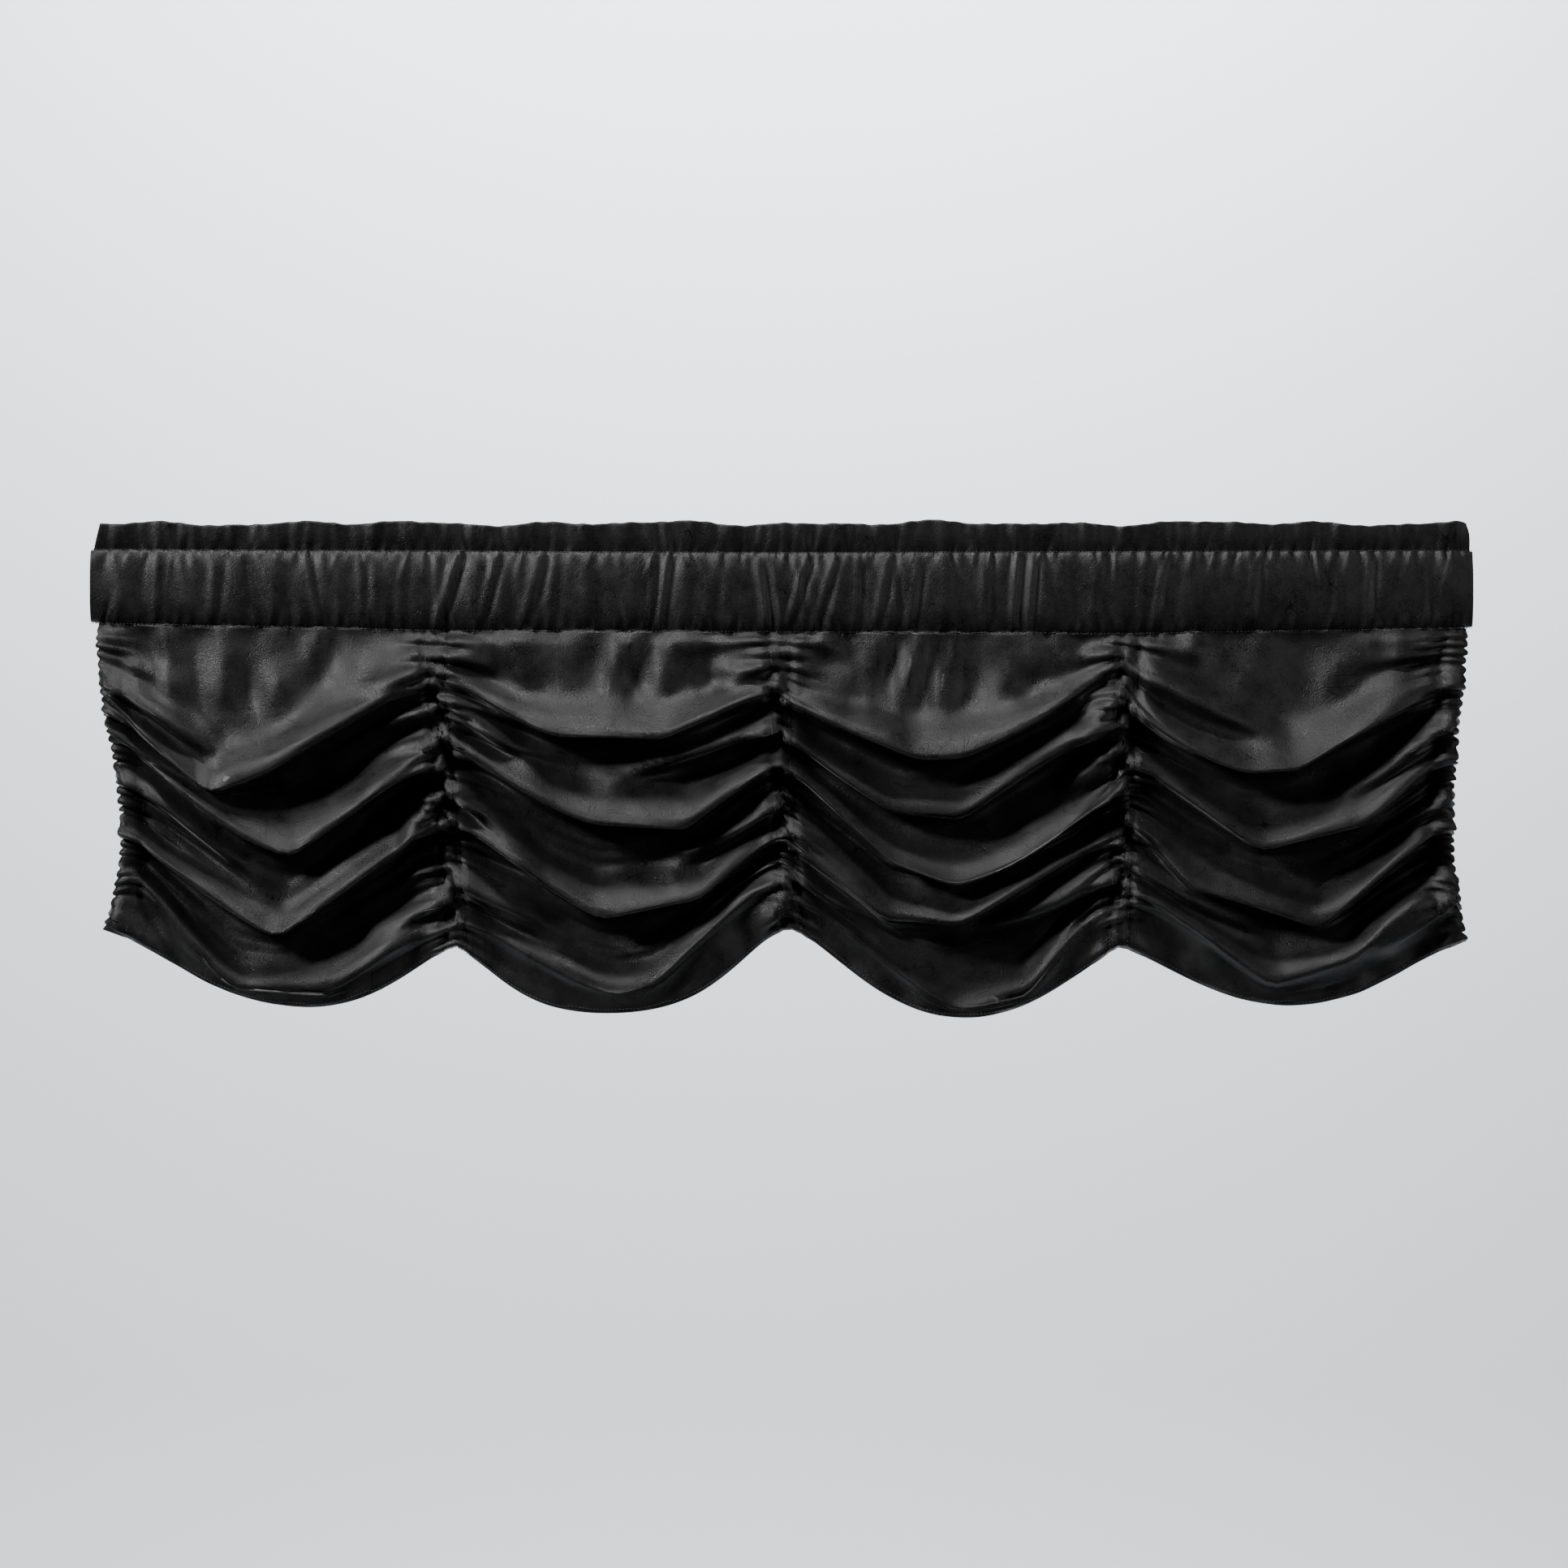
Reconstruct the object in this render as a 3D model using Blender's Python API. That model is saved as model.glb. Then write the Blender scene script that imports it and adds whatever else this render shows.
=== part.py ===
"""A gathered window valance: a standing heading frill, a rod pocket and one width of cloth drawn up on five gathers.

The frame is X across the window, Z up, and the front facing -Y. The origin is the middle of the frill's top edge, in
the plane of the two seams. Tables are in millimetres: x from the middle, drop down from the top edge.
Every lip is a ridge of cloth that hangs from one gather to the next, and the cloth is the envelope of its ridges.
"""

import math
from collections import namedtuple

import bmesh
import bpy
import numpy as np

MM = 0.001

# Driving sizes, in millimetres
WIDTH = 1271.0
FRILL_WIDTH = 1266.0
FRILL_THICK = 4.0
FRILL_WAVE = 2.6
FRILL_SWAY = 2.2
POCKET_TOP = 26.5
POCKET_FRONT = 6.5
POCKET_BACK = 12.5
POCKET_WALL = 2.0
POCKET_SQUARE = 0.42
FLUTE_DEPTH = 1.8
CLOTH_THICK = 2.0
GAP = 0.3

# How the cloth stands out from its gathers
BULGE = 7.0
GATHER_SHARE = 0.16
GATHER_RUN = 32.0
REACH_UP_GATHER, REACH_UP_MIDDLE = 8.0, 30.0
REACH_DOWN_GATHER, REACH_DOWN_MIDDLE = 3.5, 9.0
REACH_RUN = 60.0
LEG_ARCH = 0.10
LIP_EASE = 0.035
SEAM_RUN = 26.0
BLEND_POWER = 3.0
EDGE_TURN = 9.0
EDGE_RUN = 14.0

# Puckers where the cloth is drawn up, finest at a gather and dying away from it
PUCKER_DEPTH = 2.4
PUCKER_PITCH = 15.0
PUCKER_RUN = 26.0
PUCKER_EDGE = 2.2
ROW_EASE = 22.0
ROW_CROWD = 1.25

# Mesh counts. The cloth's rows are shared out between its seam, its lips and its hem.
SWAG_COLUMNS = 12
ROWS_BETWEEN_LIPS = (13, 11, 11, 11, 12)
POCKET_COLUMNS = 96
POCKET_AROUND = 12
FRILL_COLUMNS = 96

# A gather is a line where the cloth is drawn up: its seam and hem drops, and its x at even steps of the way down.
Gather = namedtuple("Gather", "seam hem x_top x_upper x_lower x_bottom")
GATHERS = (
    Gather(95.0, 374.0, -628.0, -619.0, -607.0, -622.0),
    Gather(101.5, 388.0, -321.0, -313.0, -305.0, -297.0),
    Gather(103.0, 373.5, -1.0, -1.0, 3.0, 10.0),
    Gather(104.5, 390.0, 322.0, 315.0, 311.0, 308.0),
    Gather(99.5, 385.0, 630.0, 624.0, 618.0, 628.0),
)

# A lip that hangs from gather to gather: its drop at the left, the two corners of its low stretch, its drop at the
# right, how far each leg bows below a straight line, how proud it stands and how round it is.
Lip = namedtuple("Lip", "left bow_left dip_x dip rise_x rise bow_right right proud round")
LIPS = (
    (
        Lip(171.0, 0.1, -521.0, 249.0, -463.0, 226.0, 0.0, 147.0, 36.0, 8.0),
        Lip(187.0, 0.8, -449.0, 307.0, -446.0, 307.0, 0.0, 223.5, 38.0, 3.5),
        Lip(285.0, 0.4, -460.0, 380.0, -457.0, 380.0, 0.0, 279.0, 38.0, 3.5),
        Lip(319.0, 0.0, -501.0, 430.0, -411.0, 430.0, -0.2, 373.0, 30.0, 4.5),
    ),
    (
        Lip(137.0, 0.5, -205.0, 197.0, -111.0, 198.0, 0.0, 152.0, 40.0, 9.0),
        Lip(191.0, 0.75, -167.0, 278.0, -88.0, 281.0, -0.1, 223.5, 38.0, 6.0),
        Lip(270.0, 0.4, -164.0, 364.0, -74.0, 345.0, -0.15, 291.0, 39.0, 4.5),
        Lip(364.0, 0.4, -150.0, 433.0, -113.0, 424.0, -0.25, 330.0, 32.0, 4.5),
    ),
    (
        Lip(163.0, 0.25, 125.0, 218.0, 163.0, 217.0, 0.6, 125.0, 40.0, 8.0),
        Lip(199.0, 0.25, 103.0, 269.0, 164.0, 275.0, 0.0, 184.0, 38.0, 5.0),
        Lip(227.0, 0.1, 99.0, 313.0, 157.0, 334.0, 0.8, 242.0, 39.0, 4.5),
        Lip(296.0, 0.1, 95.0, 364.0, 163.0, 370.0, 0.1, 292.0, 37.0, 3.5),
        Lip(345.0, 0.35, 159.0, 446.0, 226.0, 436.0, -0.5, 361.0, 28.0, 5.0),
    ),
    (
        Lip(169.0, 0.7, 425.0, 229.0, 470.0, 227.0, 0.0, 148.0, 40.0, 9.0),
        Lip(221.0, 0.1, 436.0, 302.0, 532.0, 276.0, -0.2, 219.0, 38.0, 4.5),
        Lip(270.0, 0.0, 373.0, 332.0, 491.0, 373.0, 0.0, 279.0, 37.0, 4.5),
        Lip(332.0, 0.2, 446.0, 423.0, 523.0, 396.0, -0.5, 331.0, 32.0, 4.5),
    ),
)

# A swag's hem: its drops at even steps from gather to gather.
Hem = namedtuple("Hem", "left sixth third half two_thirds five_sixths right")
HEMS = (
    Hem(374.0, 401.5, 428.5, 443.5, 443.0, 421.0, 390.0),
    Hem(390.0, 429.0, 448.5, 450.5, 440.5, 408.0, 373.5),
    Hem(373.5, 410.0, 442.0, 455.0, 448.5, 425.0, 391.0),
    Hem(391.0, 414.5, 436.5, 444.0, 435.0, 411.5, 385.0),
)

# Each lip's place among the rows
LIP_PLACES = ((1.0, 2.0, 3.0, 4.0), (1.0, 2.0, 3.0, 4.0), (1.0, 1.5, 2.0, 3.0, 4.0), (1.0, 2.0, 3.0, 4.0))

# A fold that leaves one gather and dies out at its tip.
Fold = namedtuple("Fold", "side start bow tip_x tip proud round")
FOLDS = (
    (
        Fold("left", 149.0, 0.0, -497.0, 241.0, 16.0, 6.0),
        Fold("left", 236.0, 0.0, -460.0, 366.0, 17.0, 5.0),
        Fold("left", 360.0, 0.2, -553.0, 404.0, 9.0, 4.0),
        Fold("right", 131.0, 0.2, -392.0, 160.0, 13.0, 4.0),
        Fold("right", 174.0, 0.2, -430.0, 240.0, 11.0, 6.0),
        Fold("right", 202.0, 0.1, -390.0, 262.0, 15.0, 3.5),
        Fold("right", 253.0, 0.0, -351.0, 309.0, 12.0, 3.5),
        Fold("right", 347.0, 0.0, -385.0, 405.0, 11.0, 4.0),
    ),
    (
        Fold("left", 122.0, 0.0, -272.0, 121.0, 9.0, 4.0),
        Fold("left", 161.0, 0.0, -211.0, 254.0, 13.0, 5.0),
        Fold("left", 242.0, 0.1, -218.0, 332.0, 17.0, 5.0),
        Fold("left", 328.0, 0.2, -193.0, 392.0, 17.0, 5.0),
        Fold("right", 126.0, 0.2, -64.0, 164.0, 13.0, 4.0),
        Fold("right", 190.0, 0.0, -172.0, 264.0, 21.0, 3.5),
        Fold("right", 261.0, 0.0, -112.0, 343.0, 17.0, 4.0),
        Fold("right", 345.0, 0.2, -28.0, 381.0, 8.0, 4.0),
    ),
    (
        Fold("left", 126.0, 0.2, 74.0, 139.0, 11.0, 4.0),
        Fold("left", 283.0, 0.0, 97.0, 360.0, 15.0, 4.0),
        Fold("left", 326.0, 0.3, 159.0, 418.0, 11.0, 8.0),
        Fold("right", 158.0, 0.0, 271.0, 195.0, 9.0, 4.0),
        Fold("right", 204.0, 0.2, 253.0, 251.0, 13.0, 5.0),
        Fold("right", 325.0, 0.3, 182.0, 388.0, 15.0, 8.0),
    ),
    (
        Fold("left", 110.0, 0.0, 386.0, 119.0, 14.0, 6.0),
        Fold("left", 135.0, 0.3, 461.0, 214.0, 19.0, 5.0),
        Fold("left", 307.0, 0.8, 457.0, 387.0, 15.0, 4.0),
        Fold("right", 184.0, 0.1, 500.0, 277.0, 17.0, 4.0),
        Fold("right", 255.0, 0.2, 553.0, 304.0, 10.0, 4.0),
        Fold("right", 346.0, 0.2, 530.0, 399.0, 11.0, 5.0),
    ),
)

# The frill's top edge and the pocket's flutes are sums of waves: length, share of the depth, phase and slant.
Wave = namedtuple("Wave", "length share phase slant")
FRILL_WAVES = (
    Wave(118.0, 0.5, 0.4, 0.0),
    Wave(71.0, 0.3, 2.1, 0.0),
    Wave(263.0, 0.4, 4.4, 0.0),
)
FLUTE_WAVES = (
    Wave(47.0, 0.5, 0.9, 0.35),
    Wave(33.0, 0.45, 3.6, -0.25),
    Wave(96.0, 0.4, 5.2, 0.15),
)

CLOTH_COLOUR = (0.021, 0.021, 0.023, 1.0)


def clear_scene():
    """Removes whatever the file opened with."""
    for old in list(bpy.data.objects):
        bpy.data.objects.remove(old)


def even_curve(values, share):
    """The smooth curve through values at even steps, read at a share of the way."""
    steps = np.linspace(0.0, 1.0, len(values))
    return np.polyval(np.polyfit(steps, values, len(values) - 1), share)


def wave_sum(waves, x, height=0.0):
    """Waves along x, slanting with the height."""
    total = 0.0
    for wave in waves:
        total = total + wave.share * np.sin(2 * math.pi * (x + wave.slant * height) / wave.length + wave.phase)
    return total


def gather_x(gather, drop):
    """Where a gather's line runs at this drop."""
    share = (drop - gather.seam) / (gather.hem - gather.seam)
    return even_curve((gather.x_top, gather.x_upper, gather.x_lower, gather.x_bottom), np.clip(share, 0.0, 1.0))


def share_across(swag, x, drop):
    """How far across a swag x lies, from 0 at its left gather to 1 at its right one."""
    left, right = (gather_x(gather, drop) for gather in GATHERS[swag : swag + 2])
    return (x - left) / (right - left)


def seam_drop(swag, across):
    """The pocket's lower seam, which sags a little at each gather."""
    return GATHERS[swag].seam + (GATHERS[swag + 1].seam - GATHERS[swag].seam) * across


def leg(run, bow):
    """The share of its fall that a leg has made after a share of its run. It leaves the gather level."""
    rise = np.hypot(run, LEG_ARCH) - LEG_ARCH
    return rise / (math.hypot(1.0, LEG_ARCH) - LEG_ARCH) + bow * run * (1 - run)


def sharp_lip_drop(swag, lip, across):
    """How far down a lip hangs, with corners at the ends of its low stretch."""
    dip = share_across(swag, lip.dip_x, lip.dip)
    rise = share_across(swag, lip.rise_x, lip.rise)
    left = lip.left + (lip.dip - lip.left) * leg(np.clip(across / dip, 0, 1), lip.bow_left)
    right = lip.right + (lip.rise - lip.right) * leg(np.clip((1 - across) / (1 - rise), 0, 1), lip.bow_right)
    low = lip.dip + (lip.rise - lip.dip) * np.clip((across - dip) / (rise - dip), 0, 1)
    return np.where(across < dip, left, np.where(across > rise, right, low))


def lip_drop(swag, lip, across):
    """How far down a lip hangs, with its corners eased."""
    around = (sharp_lip_drop(swag, lip, np.clip(across + step, 0, 1)) for step in (-LIP_EASE, 0.0, LIP_EASE))
    before, here, after = around
    near_gather = np.clip(np.minimum(across, 1 - across) / LIP_EASE, 0, 1)
    return here + (before + after - 2 * here) * near_gather / 3


def hem_drop(swag, across):
    """How far down the hem's edge hangs: a smooth curve through its table."""
    return even_curve(HEMS[swag], across)


def swag_width(swag):
    return GATHERS[swag + 1].x_upper - GATHERS[swag].x_upper


def ridge(above, off_gather, roundness):
    """A ridge's height as a share of its crest: a long slope above the lip and a steep one below it."""
    opened = 1 - np.exp(-off_gather / REACH_RUN)
    up = REACH_UP_GATHER + (REACH_UP_MIDDLE - REACH_UP_GATHER) * opened
    down = REACH_DOWN_GATHER + (REACH_DOWN_MIDDLE - REACH_DOWN_GATHER) * opened
    reach = np.where(above > 0, up, down)
    return np.exp((roundness - np.hypot(above, roundness)) / reach)


def stands_out(off_gather):
    """The share of its full height that a ridge has at a distance from the gather."""
    return GATHER_SHARE + (1 - GATHER_SHARE) * (1 - np.exp(-off_gather / GATHER_RUN))


def cloth_depth(swag, across, drop):
    """How far the cloth stands forward of the seam plane."""
    width = swag_width(swag)
    off_gather = width * np.minimum(across, 1 - across)
    total = np.zeros_like(across + drop)
    for lip in LIPS[swag]:
        above = lip_drop(swag, lip, across) - drop
        total = total + (lip.proud * stands_out(off_gather) * ridge(above, off_gather, lip.round)) ** BLEND_POWER
    for fold in FOLDS[swag]:
        tip = share_across(swag, fold.tip_x, fold.tip)
        run = across / tip if fold.side == "left" else (1 - across) / (1 - tip)
        lasting = np.clip(run, 0, 1)
        above = fold.start + (fold.tip - fold.start) * leg(lasting, fold.bow) - drop
        height = fold.proud * stands_out(width * lasting) * (1 - lasting**4)
        total = total + (height * ridge(above, off_gather, fold.round)) ** BLEND_POWER
    below_seam = np.maximum(drop - seam_drop(swag, across), 0.0)
    ramp = 1 - np.exp(-below_seam / SEAM_RUN)
    return ramp * (total ** (1 / BLEND_POWER) + BULGE * np.sin(math.pi * across))


def row_places():
    """Each row's place: 0 at the seam, a whole number at each main lip, and the last whole number at the hem."""
    places = [0.0]
    for step, count in enumerate(ROWS_BETWEEN_LIPS):
        share = np.arange(1, count + 1) / count
        places.extend(step + share**ROW_CROWD)
    return places


def place_drop(swag, place, across):
    """The drop of a place between the seam, the lips and the hem. A swag's extra lip lies half way between two."""
    stops = [0.0, *LIP_PLACES[swag], float(len(ROWS_BETWEEN_LIPS))]
    lines = [seam_drop(swag, across)]
    lines += [lip_drop(swag, lip, across) for lip in LIPS[swag]]
    lines += [hem_drop(swag, across)]
    at = np.interp(place, stops, np.arange(len(stops)))
    first = min(int(at), len(stops) - 2)
    return lines[first] + (lines[first + 1] - lines[first]) * (at - first)


def gather_drop(gather, place):
    """Where a row meets a gather: half way between where its two swags would have it."""
    drops = []
    if gather > 0:
        drops.append(place_drop(gather - 1, place, 1.0))
    if gather < len(LIPS):
        drops.append(place_drop(gather, place, 0.0))
    return float(np.mean(drops))


def row_drop(swag, place, across):
    """A row's drop across a swag. It meets both gathers where its neighbours' rows do."""
    drop = place_drop(swag, place, across)
    for side in (0, 1):
        off = swag_width(swag) * np.abs(across - side)
        step = gather_drop(swag + side, place) - place_drop(swag, place, float(side))
        drop = drop + step * np.exp(-off / ROW_EASE)
    return drop


def pucker(gather, place):
    """A gather's pucker where this row meets it, from -1 to 1."""
    drop = gather_drop(gather, place)
    return math.sin(2 * math.pi * drop / PUCKER_PITCH + 1.9 * gather + 0.9 * math.sin(drop / 31.0 + gather))


def cloth_rows():
    """The cloth's middle surface, as rows of points from the seam to the hem."""
    even = np.linspace(0.0, 1.0, SWAG_COLUMNS + 1)
    across = 0.5 * even + 0.5 * (0.5 - 0.5 * np.cos(math.pi * even))
    rows = []
    for place in row_places():
        row = []
        begun = min(place, 1.0)
        for swag in range(len(LIPS)):
            drop = row_drop(swag, place, across)
            left, right = (gather_x(gather, drop) for gather in GATHERS[swag : swag + 2])
            x = left + (right - left) * across
            forward = cloth_depth(swag, across, drop)
            for side in (0, 1):
                off = swag_width(swag) * np.abs(across - side)
                fade = begun * np.exp(-off / PUCKER_RUN)
                forward = forward + PUCKER_DEPTH * pucker(swag + side, place) * fade
                if swag + side in (0, len(LIPS)):
                    x = x + (2 * side - 1) * PUCKER_EDGE * pucker(swag + side, place) * begun * (off < 1.0)
            from_edge = WIDTH / 2 - np.abs(x)
            back = EDGE_TURN * min(place, 2.0) / 2 * np.exp(-np.maximum(from_edge, 0.0) / EDGE_RUN)
            points = np.column_stack((x, back - forward, -drop - GAP))
            row.extend(points if swag == 0 else points[1:])
        rows.append(np.array(row))
    return rows


def cloth_material():
    """Black pile cloth."""
    material = bpy.data.materials.new("black_velvet")
    material.use_nodes = True
    shader = material.node_tree.nodes["Principled BSDF"]
    shader.inputs["Base Color"].default_value = CLOTH_COLOUR
    shader.inputs["Roughness"].default_value = 0.62
    shader.inputs["Sheen Weight"].default_value = 0.35
    return material


def new_object(name, bm, material):
    """A mesh object in metres from a bmesh in millimetres, which is freed."""
    bmesh.ops.scale(bm, vec=(MM, MM, MM), verts=bm.verts)
    bmesh.ops.recalc_face_normals(bm, faces=bm.faces)
    mesh = bpy.data.meshes.new(name)
    bm.to_mesh(mesh)
    bm.free()
    mesh.materials.append(material)
    mesh.shade_smooth()
    made = bpy.data.objects.new(name, mesh)
    bpy.context.scene.collection.objects.link(made)
    return made


def quad_grid(bm, rows, close=False):
    """Quads between rows of points. close joins each row's last point to its first."""
    verts = [[bm.verts.new(point) for point in row] for row in rows]
    count = len(rows[0])
    for upper, lower in zip(verts, verts[1:]):
        for i in range(count if close else count - 1):
            after = (i + 1) % count
            bm.faces.new((upper[i], upper[after], lower[after], lower[i]))
    return verts


def make_swag_cloth(material):
    """The gathered cloth: one sheet with its lips, folds and scalloped hem."""
    bm = bmesh.new()
    quad_grid(bm, cloth_rows())
    cloth = new_object("swag_cloth", bm, material)
    thickness = cloth.modifiers.new("thickness", "SOLIDIFY")
    thickness.thickness = CLOTH_THICK * MM
    thickness.offset = 0.0
    return cloth


def pocket_seams(x):
    """The drops of the pocket's two seams at x."""
    places = [gather.x_top for gather in GATHERS]
    lower = np.interp(x, places, [gather.seam for gather in GATHERS])
    sag = np.interp(x, places, [0.0, 1.5, 3.0, 2.0, 1.0])
    return POCKET_TOP + sag, lower


def pocket_ring(x, inset):
    """One ring of the pocket's wall, a flattened round that meets both seams."""
    upper, lower = pocket_seams(x)
    middle, half = (upper + lower) / 2, (lower - upper) / 2
    angles = np.linspace(0.0, 2 * math.pi, POCKET_AROUND, endpoint=False)
    sine, cosine = np.sin(angles), np.cos(angles)
    forward = np.sign(cosine) * np.abs(cosine) ** POCKET_SQUARE
    depth = np.where(forward > 0, POCKET_FRONT, POCKET_BACK) - inset
    up = np.sign(sine) * np.abs(sine) ** (2 * POCKET_SQUARE)
    flute = FLUTE_DEPTH * wave_sum(FLUTE_WAVES, x, half * up) * np.abs(cosine)
    return np.column_stack((np.full_like(angles, x), -(forward * (depth + flute)), -middle + up * (half - inset)))


def make_rod_pocket(material):
    """The rod pocket: a tube of cloth, open at both ends, with shallow flutes where it is gathered on its rod."""
    places = np.linspace(-WIDTH / 2, WIDTH / 2, POCKET_COLUMNS + 1)
    bm = bmesh.new()
    outer = quad_grid(bm, [pocket_ring(x, 0.0) for x in places], close=True)
    inner = quad_grid(bm, [pocket_ring(x, POCKET_WALL) for x in places], close=True)
    for end in (0, -1):
        for i in range(POCKET_AROUND):
            after = (i + 1) % POCKET_AROUND
            bm.faces.new((outer[end][i], outer[end][after], inner[end][after], inner[end][i]))
    return new_object("rod_pocket", bm, material)


def make_heading_frill(material):
    """The standing frill above the pocket: the cloth doubled, with a wavy top edge."""
    bm = bmesh.new()
    rows = []
    for x in np.linspace(-FRILL_WIDTH / 2, FRILL_WIDTH / 2, FRILL_COLUMNS + 1):
        upper, _ = pocket_seams(x)
        top = FRILL_WAVE * wave_sum(FRILL_WAVES, x) - FRILL_WAVE
        sway = FRILL_SWAY * wave_sum(FLUTE_WAVES, x)
        half = FRILL_THICK / 2
        foot = GAP - upper
        rows.append(
            [
                (x, -half, foot),
                (x, -half - sway, top),
                (x, half - sway, top),
                (x, half, foot),
            ]
        )
    verts = quad_grid(bm, rows, close=True)
    for end in (0, -1):
        bm.faces.new(verts[end])
    return new_object("heading_frill", bm, material)


def main():
    clear_scene()
    material = cloth_material()
    make_heading_frill(material)
    make_rod_pocket(material)
    make_swag_cloth(material)


main()
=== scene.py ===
"""A black velvet window valance with a standing frill, a rod pocket and one width of cloth in four swags.

The shapes are worked out in millimetres, x across from the middle and drop down from the top edge, and turned
into metres when their meshes are made. The front faces -Y and Z is up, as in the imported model.
"""

from __future__ import annotations

import logging
import math
from dataclasses import dataclass, field
from enum import Enum
from typing import Any, Iterable, Sequence

import bpy
import numpy as np
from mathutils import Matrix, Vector

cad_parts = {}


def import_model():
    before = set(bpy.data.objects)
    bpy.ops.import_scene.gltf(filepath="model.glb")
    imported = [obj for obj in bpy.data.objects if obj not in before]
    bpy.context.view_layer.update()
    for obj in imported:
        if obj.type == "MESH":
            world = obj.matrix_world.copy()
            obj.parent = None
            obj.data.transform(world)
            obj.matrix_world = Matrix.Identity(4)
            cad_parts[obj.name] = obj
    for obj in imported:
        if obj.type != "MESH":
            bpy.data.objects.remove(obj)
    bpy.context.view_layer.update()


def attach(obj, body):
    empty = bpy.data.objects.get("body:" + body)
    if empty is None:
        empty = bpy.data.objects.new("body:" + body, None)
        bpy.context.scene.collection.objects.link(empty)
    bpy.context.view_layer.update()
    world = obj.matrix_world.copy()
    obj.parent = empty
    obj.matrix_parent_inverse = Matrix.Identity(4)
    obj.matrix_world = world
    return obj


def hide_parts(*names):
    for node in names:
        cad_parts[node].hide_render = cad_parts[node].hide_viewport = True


MM = 0.001
BODY = "root"
TAU = 2 * math.pi
Array = np.ndarray

log = logging.getLogger("valance")


class Side(Enum):
    """Which gather a dying fold leaves."""

    LEFT = 0
    RIGHT = 1


class Weld(Enum):
    """How a grid of points closes on itself."""

    OPEN = 0
    AROUND = 1


# Tables of the cloth's shape


@dataclass(frozen=True)
class Gather:
    """A line on which the cloth is drawn up.

    Args:
        seam: Its drop where it leaves the pocket.
        hem: Its drop at the hem.
        x: Its x at even steps of the way down.
    """

    seam: float
    hem: float
    x: tuple[float, float, float, float]


@dataclass(frozen=True)
class Lip:
    """A ridge of cloth that hangs from one gather to the next.

    Args:
        left: Its drop at the left gather.
        bow_left: How far its left leg bows below a straight line.
        dip_x: Where its low stretch begins.
        dip: The drop there.
        rise_x: Where its low stretch ends.
        rise: The drop there.
        bow_right: How far its right leg bows.
        right: Its drop at the right gather.
        proud: How far it stands forward.
        round: How round its crest is.
    """

    left: float
    bow_left: float
    dip_x: float
    dip: float
    rise_x: float
    rise: float
    bow_right: float
    right: float
    proud: float
    round: float


@dataclass(frozen=True)
class Fold:
    """A ridge that leaves one gather and dies out at its tip.

    Args:
        side: The gather that it leaves.
        start: Its drop there.
        bow: How far it bows below a straight line.
        tip_x: Where it ends.
        tip: Its drop there.
        proud: How far it stands forward.
    """

    side: Side
    start: float
    bow: float
    tip_x: float
    tip: float
    proud: float


@dataclass(frozen=True)
class Tuck:
    """A soft upright fold that hangs from the pocket's lower seam.

    Args:
        x: Where it leaves the seam.
        high: How far it stands forward, or back when below zero.
        wide: Its half width.
        long: How far down it lasts.
        lean: How far x moves for each millimetre down.
    """

    x: float
    high: float
    wide: float
    long: float
    lean: float = 0.0


@dataclass(frozen=True)
class Swag:
    """One swag of the cloth.

    Args:
        lips: Its lips, from the top down.
        places: Each lip's place among the rows.
        folds: Its dying folds.
        hem: Its hem's drops at even steps across.
    """

    lips: tuple[Lip, ...]
    places: tuple[float, ...]
    folds: tuple[Fold, ...]
    hem: tuple[float, ...]


Rows = tuple[tuple[float, ...], ...]


def dying_folds(left: Rows, right: Rows) -> tuple[Fold, ...]:
    """A swag's dying folds, from rows of sizes for those that leave its left and its right gather."""
    return tuple(Fold(side, *row) for side, rows in zip(Side, (left, right)) for row in rows)


GATHERS = (
    Gather(95.0, 374.0, (-628.0, -616.0, -603.5, -618.5)),
    Gather(101.5, 388.0, (-321.0, -313.0, -305.0, -297.0)),
    Gather(103.0, 373.5, (-1.0, -1.0, 3.0, 10.0)),
    Gather(104.5, 390.0, (322.0, 315.0, 311.0, 308.0)),
    Gather(99.5, 385.0, (630.0, 618.0, 613.5, 625.0)),
)

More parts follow.
